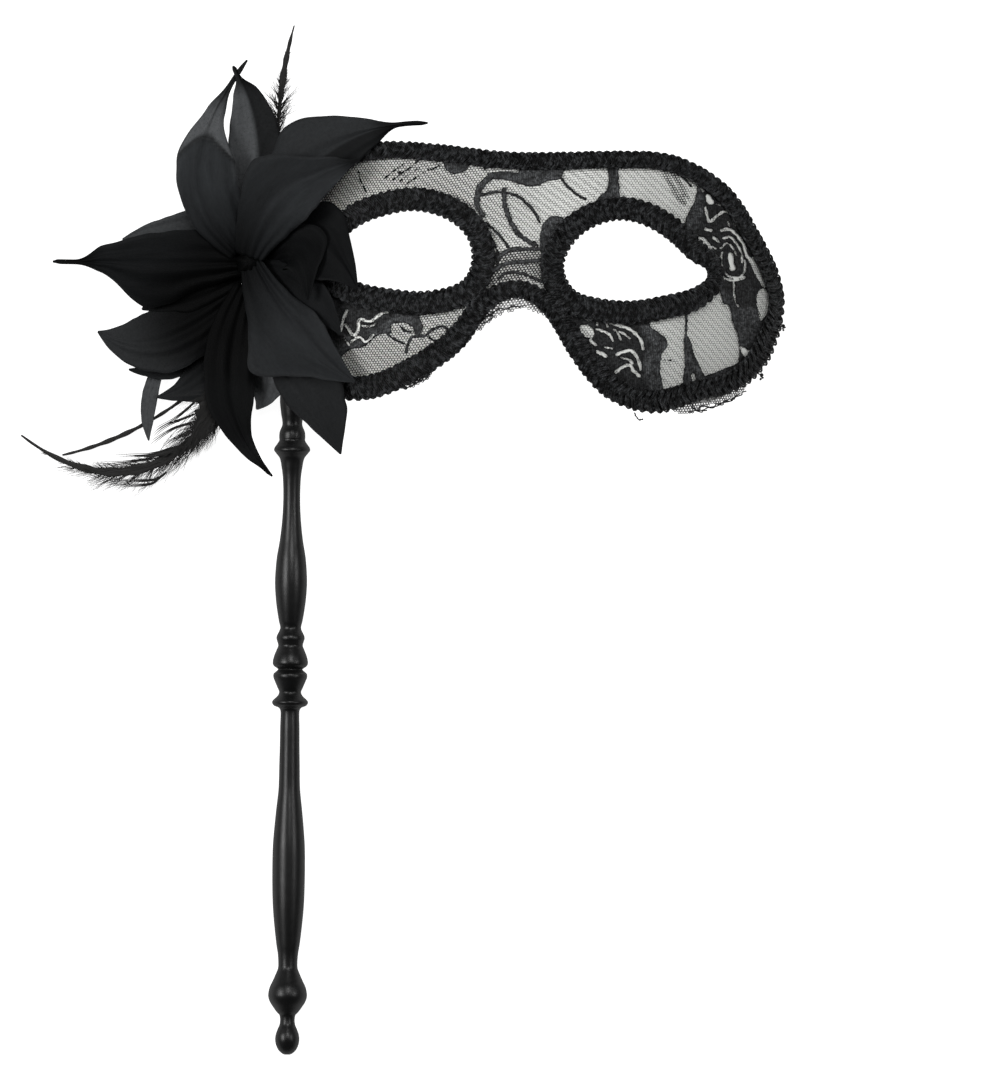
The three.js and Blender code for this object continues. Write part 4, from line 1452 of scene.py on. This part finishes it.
def leafDark(shape, spot, uu, vv, past, sheer):
    # How dark the cloth is painted: its own painted shade and that of a shaded side, then closer to
    # black by the deepest of the painted shade round the heart and in the hollow, the darker doubled
    # hems, a painted shadow along a hood's fold and a darker bunched tip.
    # Painted shade round the heart, and in the hollow under the front petals.
    away = np.linalg.norm(spot - np.array(petal["shadeFrom"]), axis=-1)
    shade = np.exp(-((away / petal["heartShade"]) ** 2))
    if not shape.get("outer"):
        hollow = np.linalg.norm(spot - np.array(petal["hollow"]), axis=-1)
        shade = np.maximum(shade, np.exp(-((hollow / petal["hollowShade"]) ** 4)))
    hem = petal["hemShade"] * (0.3 + 0.7 * sheer) * softStep(np.abs(vv), 0.9, 0.97)
    # A painted shadow line along a hood's edge.
    fold = 0.8 * np.exp(-(((past - 0.02) / 0.018) ** 2))
    start = shape.get("strip", 1.2)
    bunched = petal["tipShade"] * softStep(uu, start - 0.14, start)
    shade = np.maximum.reduce([shade, hem, fold, bunched])
    # The petal's own painted shade, deeper on its shaded side.
    dark = shape["dark"]
    if "shaded" in shape:
        start, depth = shape["shaded"]
        dark = dark + depth * softStep(np.sign(start) * vv, abs(start) - 0.06, abs(start) + 0.06)
    return dark + (0.98 - dark) * shade


def buildPetal(name, shape, number):
    # The leaf is its middle line plus a straight rib across, tilted, and twisted towards the tip,
    # with a slightly uneven edge. Its cloth rises over the ribs and drops behind a hood's edge.
    u = 1 - (1 - np.linspace(0, 1, petal["rows"])) ** 1.25
    v = np.sin(np.linspace(-1, 1, petal["columns"]) * np.pi / 2)
    uu, vv = np.meshgrid(u, v, indexing="ij")
    point, along = leafLine(shape, u)
    length = np.linalg.norm(np.diff(point, axis=0), axis=1).sum()
    left = leafWidth(shape, "left", u)
    right = leafWidth(shape, "right", u)
    rib = ribs(along)
    rib[:, 2] = shape.get("tilt", 0) + shape.get("twist", 0) * softStep(u, 0.7, 1.0)
    edge = 1 + 0.012 * np.sin(uu * 31 + number) + 0.010 * np.sin(uu * 53 + 2.1 * number)
    offset = vv * np.where(vv < 0, right[:, None], left[:, None]) * edge
    points = point[:, None] + rib[:, None] * offset[..., None]
    scale = np.clip(max(left.max(), right.max()) / petal["fullScale"], 0.2, 1.0)
    points[..., 2] += leafRise(shape, number, uu, vv, scale)
    points[..., 2] = np.maximum(points[..., 2], petal["lowest"])
    hood, bow = shape.get("hood", (2.0, 0.0))
    past = uu - hood + bow * vv ** 2
    points[..., 2] -= petal["hoodDrop"] * softStep(past, 0.0, 0.03)
    sheer = leafSheer(shape, uu, vv, past)
    fields = {"sheer": sheer, "deep": leafDark(shape, points[..., :2], uu, vv, past, sheer)}
    faces = gridFaces(*uu.shape)[:, ::-1].tolist()
    uv = np.stack([uu * length, offset], axis=-1).reshape(-1, 2)
    nodes = [] if shape.get("under") else [name]
    placed = fromHeart(points.reshape(-1, 3))
    piece = makePiece(pieceName(name), placed, faces, organza, nodes, uv, fields)
    thicken(piece, petal["thickness"], 0.0)
    area = (left + right) @ np.gradient(u) * length
    width = max(petal["leastFlat"], (left + right).max() + petal["hem"])
    long = max(petal["leastFlat"], length + petal["hem"])
    area = float(np.clip(area, 0.305 * width * long, width * long))


def buildKnot():
    # A ball a little taller than wide, its girth gathered in seven soft pleats.
    broad, tall, height = petal["knot"]
    t = np.linspace(0.02, np.pi - 0.02, 25)
    line = np.stack([0 * t, 0 * t, height - tall * np.cos(t)], axis=1)
    points, faces, uv = tube(line, northward, broad * np.sin(t), broad * np.sin(t), 56)
    angle = np.arctan2(points[:, 1], points[:, 0])
    points[:, :2] *= (1 + 0.09 * np.sin(7 * angle))[:, None]
    # Painted shade: the knot lies near black all over, as in the heart's shade.
    fields = {"sheer": np.zeros(len(points)), "deep": np.full(len(points), 0.95)}
    makePiece("heartKnot", fromHeart(points), faces, organza, (), uv, fields)


for number, (name, shape) in enumerate(petals.items()):
    buildPetal(name, shape, number)
buildKnot()
print("stage: petals")


# Feathers: a tapering shaft with barbs to both sides and down at its foot

feather = {
    "shaft": 0.28,
    "vaneHigh": 0.10,
    "barbWidth": 0.21,
    "clump": 0.7,       # how strongly the barbs cling together
    "bundle": 9,        # barbs on one side that share a wisp
    "segments": 6,
    "seed": 11,
    "wispWide": 0.2,
    "wispApart": 0.55,
    "lineSteps": 60,
    "wispSteps": 30,
    "lowest": 0.25,
}

# Each feather has the points of its shaft, its barbs' reach to both sides and its vane's half
# width at six equal steps, and how many barbs it has and how far they lean. Wisps are in pixels
# of the photograph.
feathers = {
    "feather_long": {
        "base": (-10, -52, 6), "middle": (-43, -71.2, 4), "tip": (-78.2, -58.8, 3),
        "left": (9, 13, 13, 9, 3, 0.3), "right": (8, 10, 9, 6, 1.2, 0.3), "barbs": 900, "lean": 1.0,
        "vane": (0.2, 1.2, 1.7, 1.4, 0.9, 0.3),
        "wisps": [
            [(177, 446), (159, 451.8), (145, 454.6), (129, 454.8), (110.6, 453.8)],
            [(152, 458), (140.6, 459.9), (122, 462.2), (106, 463.3), (95.7, 462.5)],
            [(150, 463), (138.3, 465.6), (122, 466.3), (108.3, 465)],
            [(160, 476), (152, 483), (129, 485), (106, 481.7), (87.6, 473.7)],
            [(166, 472), (155, 479), (138, 480.6), (117.6, 480), (99, 476), (83, 468)],
        ],
    },
    "feather_thin": {
        "base": (-18, -42.5, 2.6), "middle": (-40, -57, 1.8), "tip": (-64.2, -65.6, 1.6),
        "left": (1.4, 1.1, 0.8, 0.6, 0.5, 0.4), "right": (1.4, 1.1, 0.8, 0.6, 0.5, 0.4),
        "barbs": 400, "lean": 0.8, "vane": (0.5, 0.55, 0.6, 0.85, 0.65, 0.35),
    },
    "feather_short": {
        "base": (-8, -52, 9), "middle": (-25, -63.5, 7), "tip": (-40, -65.6, 5.5),
        "left": (8, 7, 5, 3, 1.6, 0.6), "right": (5, 4.5, 3, 1.6, 1.0, 0.5), "barbs": 420, "lean": 1.1,
        "vane": (0.8, 1.0, 1.0, 0.7, 0.4, 0.15),
    },
    "feather_fluff": {
        "base": (-5, -38, 11), "middle": (-13, -50, 11), "tip": (-19.5, -61, 9.5),
        "left": (9, 11, 12, 10, 7, 4), "right": (9, 14, 17, 15, 11, 6), "barbs": 640, "lean": 1.0,
        "vane": (2.5, 4, 5, 4.6, 2.4, 0.4),
        "wisps": [
            [(196, 400), (184, 411), (172, 420), (160, 427), (156, 430)],
            [(194, 414), (180, 419.5), (168, 424.5), (158, 431), (152, 437)],
            [(192, 423), (176, 427), (164, 433.5), (155, 440), (150, 444)],
            [(191, 432), (180, 436), (170, 441), (163, 446)],
        ],
    },
    "feather_top": {
        "base": (9.5, 34, 14), "middle": (10.5, 58, 16), "tip": (15, 80.6, 18),
        "left": (9, 9, 7, 3, 1.1, 0.3), "right": (9, 9, 7, 3, 1.1, 0.3), "barbs": 640, "lean": 0.8,
        "vane": (0.3, 0.4, 0.7, 1.15, 0.8, 0.2),
    },
}


def featherFinish():
    # Dyed black vane: streaks along the barbs and a dull silky sheen.
    finish, tree, shader = newFinish("blackFeather", {"Roughness": 0.55, "Specular IOR Level": 0.1})
    streak = noise(tree, coordinates(tree, "UV", (0.6, 6.0, 1)), 1.0, 4.0)
    tree.links.new(mixed(tree, streak, grey(0.003, 0.02), grey(0.018, 0.03)), shader.inputs["Base Color"])
    bumped(tree, shader, streak, 0.4, 0.0001)
    return finish


featherMaterial = featherFinish()


def sampled(values, at):
    # Straight lines between values at equal steps from 0 to 1.
    return np.interp(at, np.linspace(0, 1, len(values)), values)


def shaftAndVane(shape, number):
    # Two tubes along the middle line, the shaft tapering and the vane flat with a wavy edge.
    u = np.linspace(0, 1, feather["lineSteps"])
    line, _ = leafLine(shape, u)
    taper = feather["shaft"] * (1.15 - u)
    vane = sampled(shape["vane"], u) * (1 + 0.15 * np.sin(u * 47 + number))
    return [tube(line, skyward, taper, taper, 8), tube(line, skyward, vane, feather["vaneHigh"], 8)]


def wispStrands(shape):
    # A wisp is three fine strands that part towards their ends.
    t = np.linspace(0, 1, feather["wispSteps"])
    strands = []
    for row in shape.get("wisps", ()):
        spots = (np.array(row, float) - petal["heartPixel"]) * [layout["pixel"], -layout["pixel"]]
        course = throughPoints(spots, t)
        across = ribs(around(course, False))[:, :2]
        for k in (-1, 0, 1):
            spot = course + k * feather["wispApart"] * (0.3 + t)[:, None] * across
            strand = np.column_stack([spot, np.full(len(t), shape["middle"][2] + 0.3 * k)])
            thin = feather["wispWide"] * (1.2 - t) * (1 + 0.5 * (k == 0))
            strands.append(tube(strand, skyward, thin, feather["vaneHigh"], 6))
    return strands


def barbRibbons(shape, rng):
    # A barb starts on the shaft, leaves at its lean, bends towards the tip with the square of its
    # run and droops. Its length follows the envelope for its side, and neighbours in a wisp share
    # most of their length, lean and bend.
    count = shape["barbs"]
    order = np.arange(count)
    side = np.where(order % 2 == 0, 1.0, -1.0)
    at = np.sort(rng.random(count)) ** 1.15
    beat = 2 * np.pi * count / 14
    at = np.clip(at + feather["clump"] * np.sin(at * beat) / beat, 0.0, 0.985)
    root, along = leafLine(shape, at)
    aside = ribs(along) * side[:, None]
    envelope = np.where(side > 0, sampled(shape["left"], at), sampled(shape["right"], at))
    bundle = order // 2 // feather["bundle"]
    within = (order // 2 % feather["bundle"]) / feather["bundle"] - 0.5
    own = rng.random((3, bundle.max() + 1))[:, bundle]
    length = envelope * (0.35 + 0.75 * own[0]) * (0.8 + 0.4 * rng.random(count))
    lean = shape["lean"] * (0.55 + 0.8 * own[1]) - 0.5 * within + 0.12 * rng.standard_normal(count)
    bend = 0.15 + 0.7 * own[2] + 0.1 * rng.random(count)
    droop = 0.10 * rng.standard_normal(count)
    s = np.linspace(0, 1, feather["segments"] + 1)
    run = length[:, None] * s[None]
    waver = 0.10 * np.sin(s[None] * 7 + rng.random(count)[:, None] * 6) * run
    outward = (run * np.cos(lean)[:, None] * (1 - 0.3 * bend[:, None] * s[None]) + waver)[..., None]
    forward = (run * (np.sin(lean)[:, None] + bend[:, None] * s[None]))[..., None]
    middle = root[:, None] + aside[:, None] * outward + along[:, None] * forward
    middle[..., 2] += droop[:, None] * run * s[None]
    middle[..., 2] = np.maximum(middle[..., 2], feather["lowest"])
    flank = unit(np.cross(unit(np.gradient(middle, axis=1)), skyward))
    half = 0.5 * feather["barbWidth"] * (1.05 - s)[None, :, None]
    points = np.stack([middle - flank * half, middle + flank * half], axis=2).reshape(-1, 3)
    ribbon = gridFaces(len(s), 2)
    faces = (np.arange(count)[:, None, None] * len(s) * 2 + ribbon[None]).reshape(-1, 4)
    across = np.arange(2)[None, None] + at[:, None, None] * 40
    uv = np.stack(np.broadcast_arrays(run[..., None], across), axis=-1)
    return points, faces.tolist(), uv.reshape(-1, 2)


def buildFeather(name, shape, number):
    # Shaft, vane, wisps and barbs in one mesh, the barbs drawn with the feather's own seed.
    rng = np.random.default_rng(feather["seed"] + number)
    parts = [*shaftAndVane(shape, number), *wispStrands(shape), barbRibbons(shape, rng)]
    points, faces, uv = joined(parts)
    makePiece(pieceName(name), fromHeart(points), faces, featherMaterial, [name], uv)


for number, (name, shape) in enumerate(feathers.items()):
    buildFeather(name, shape, number)
print("stage: feathers")
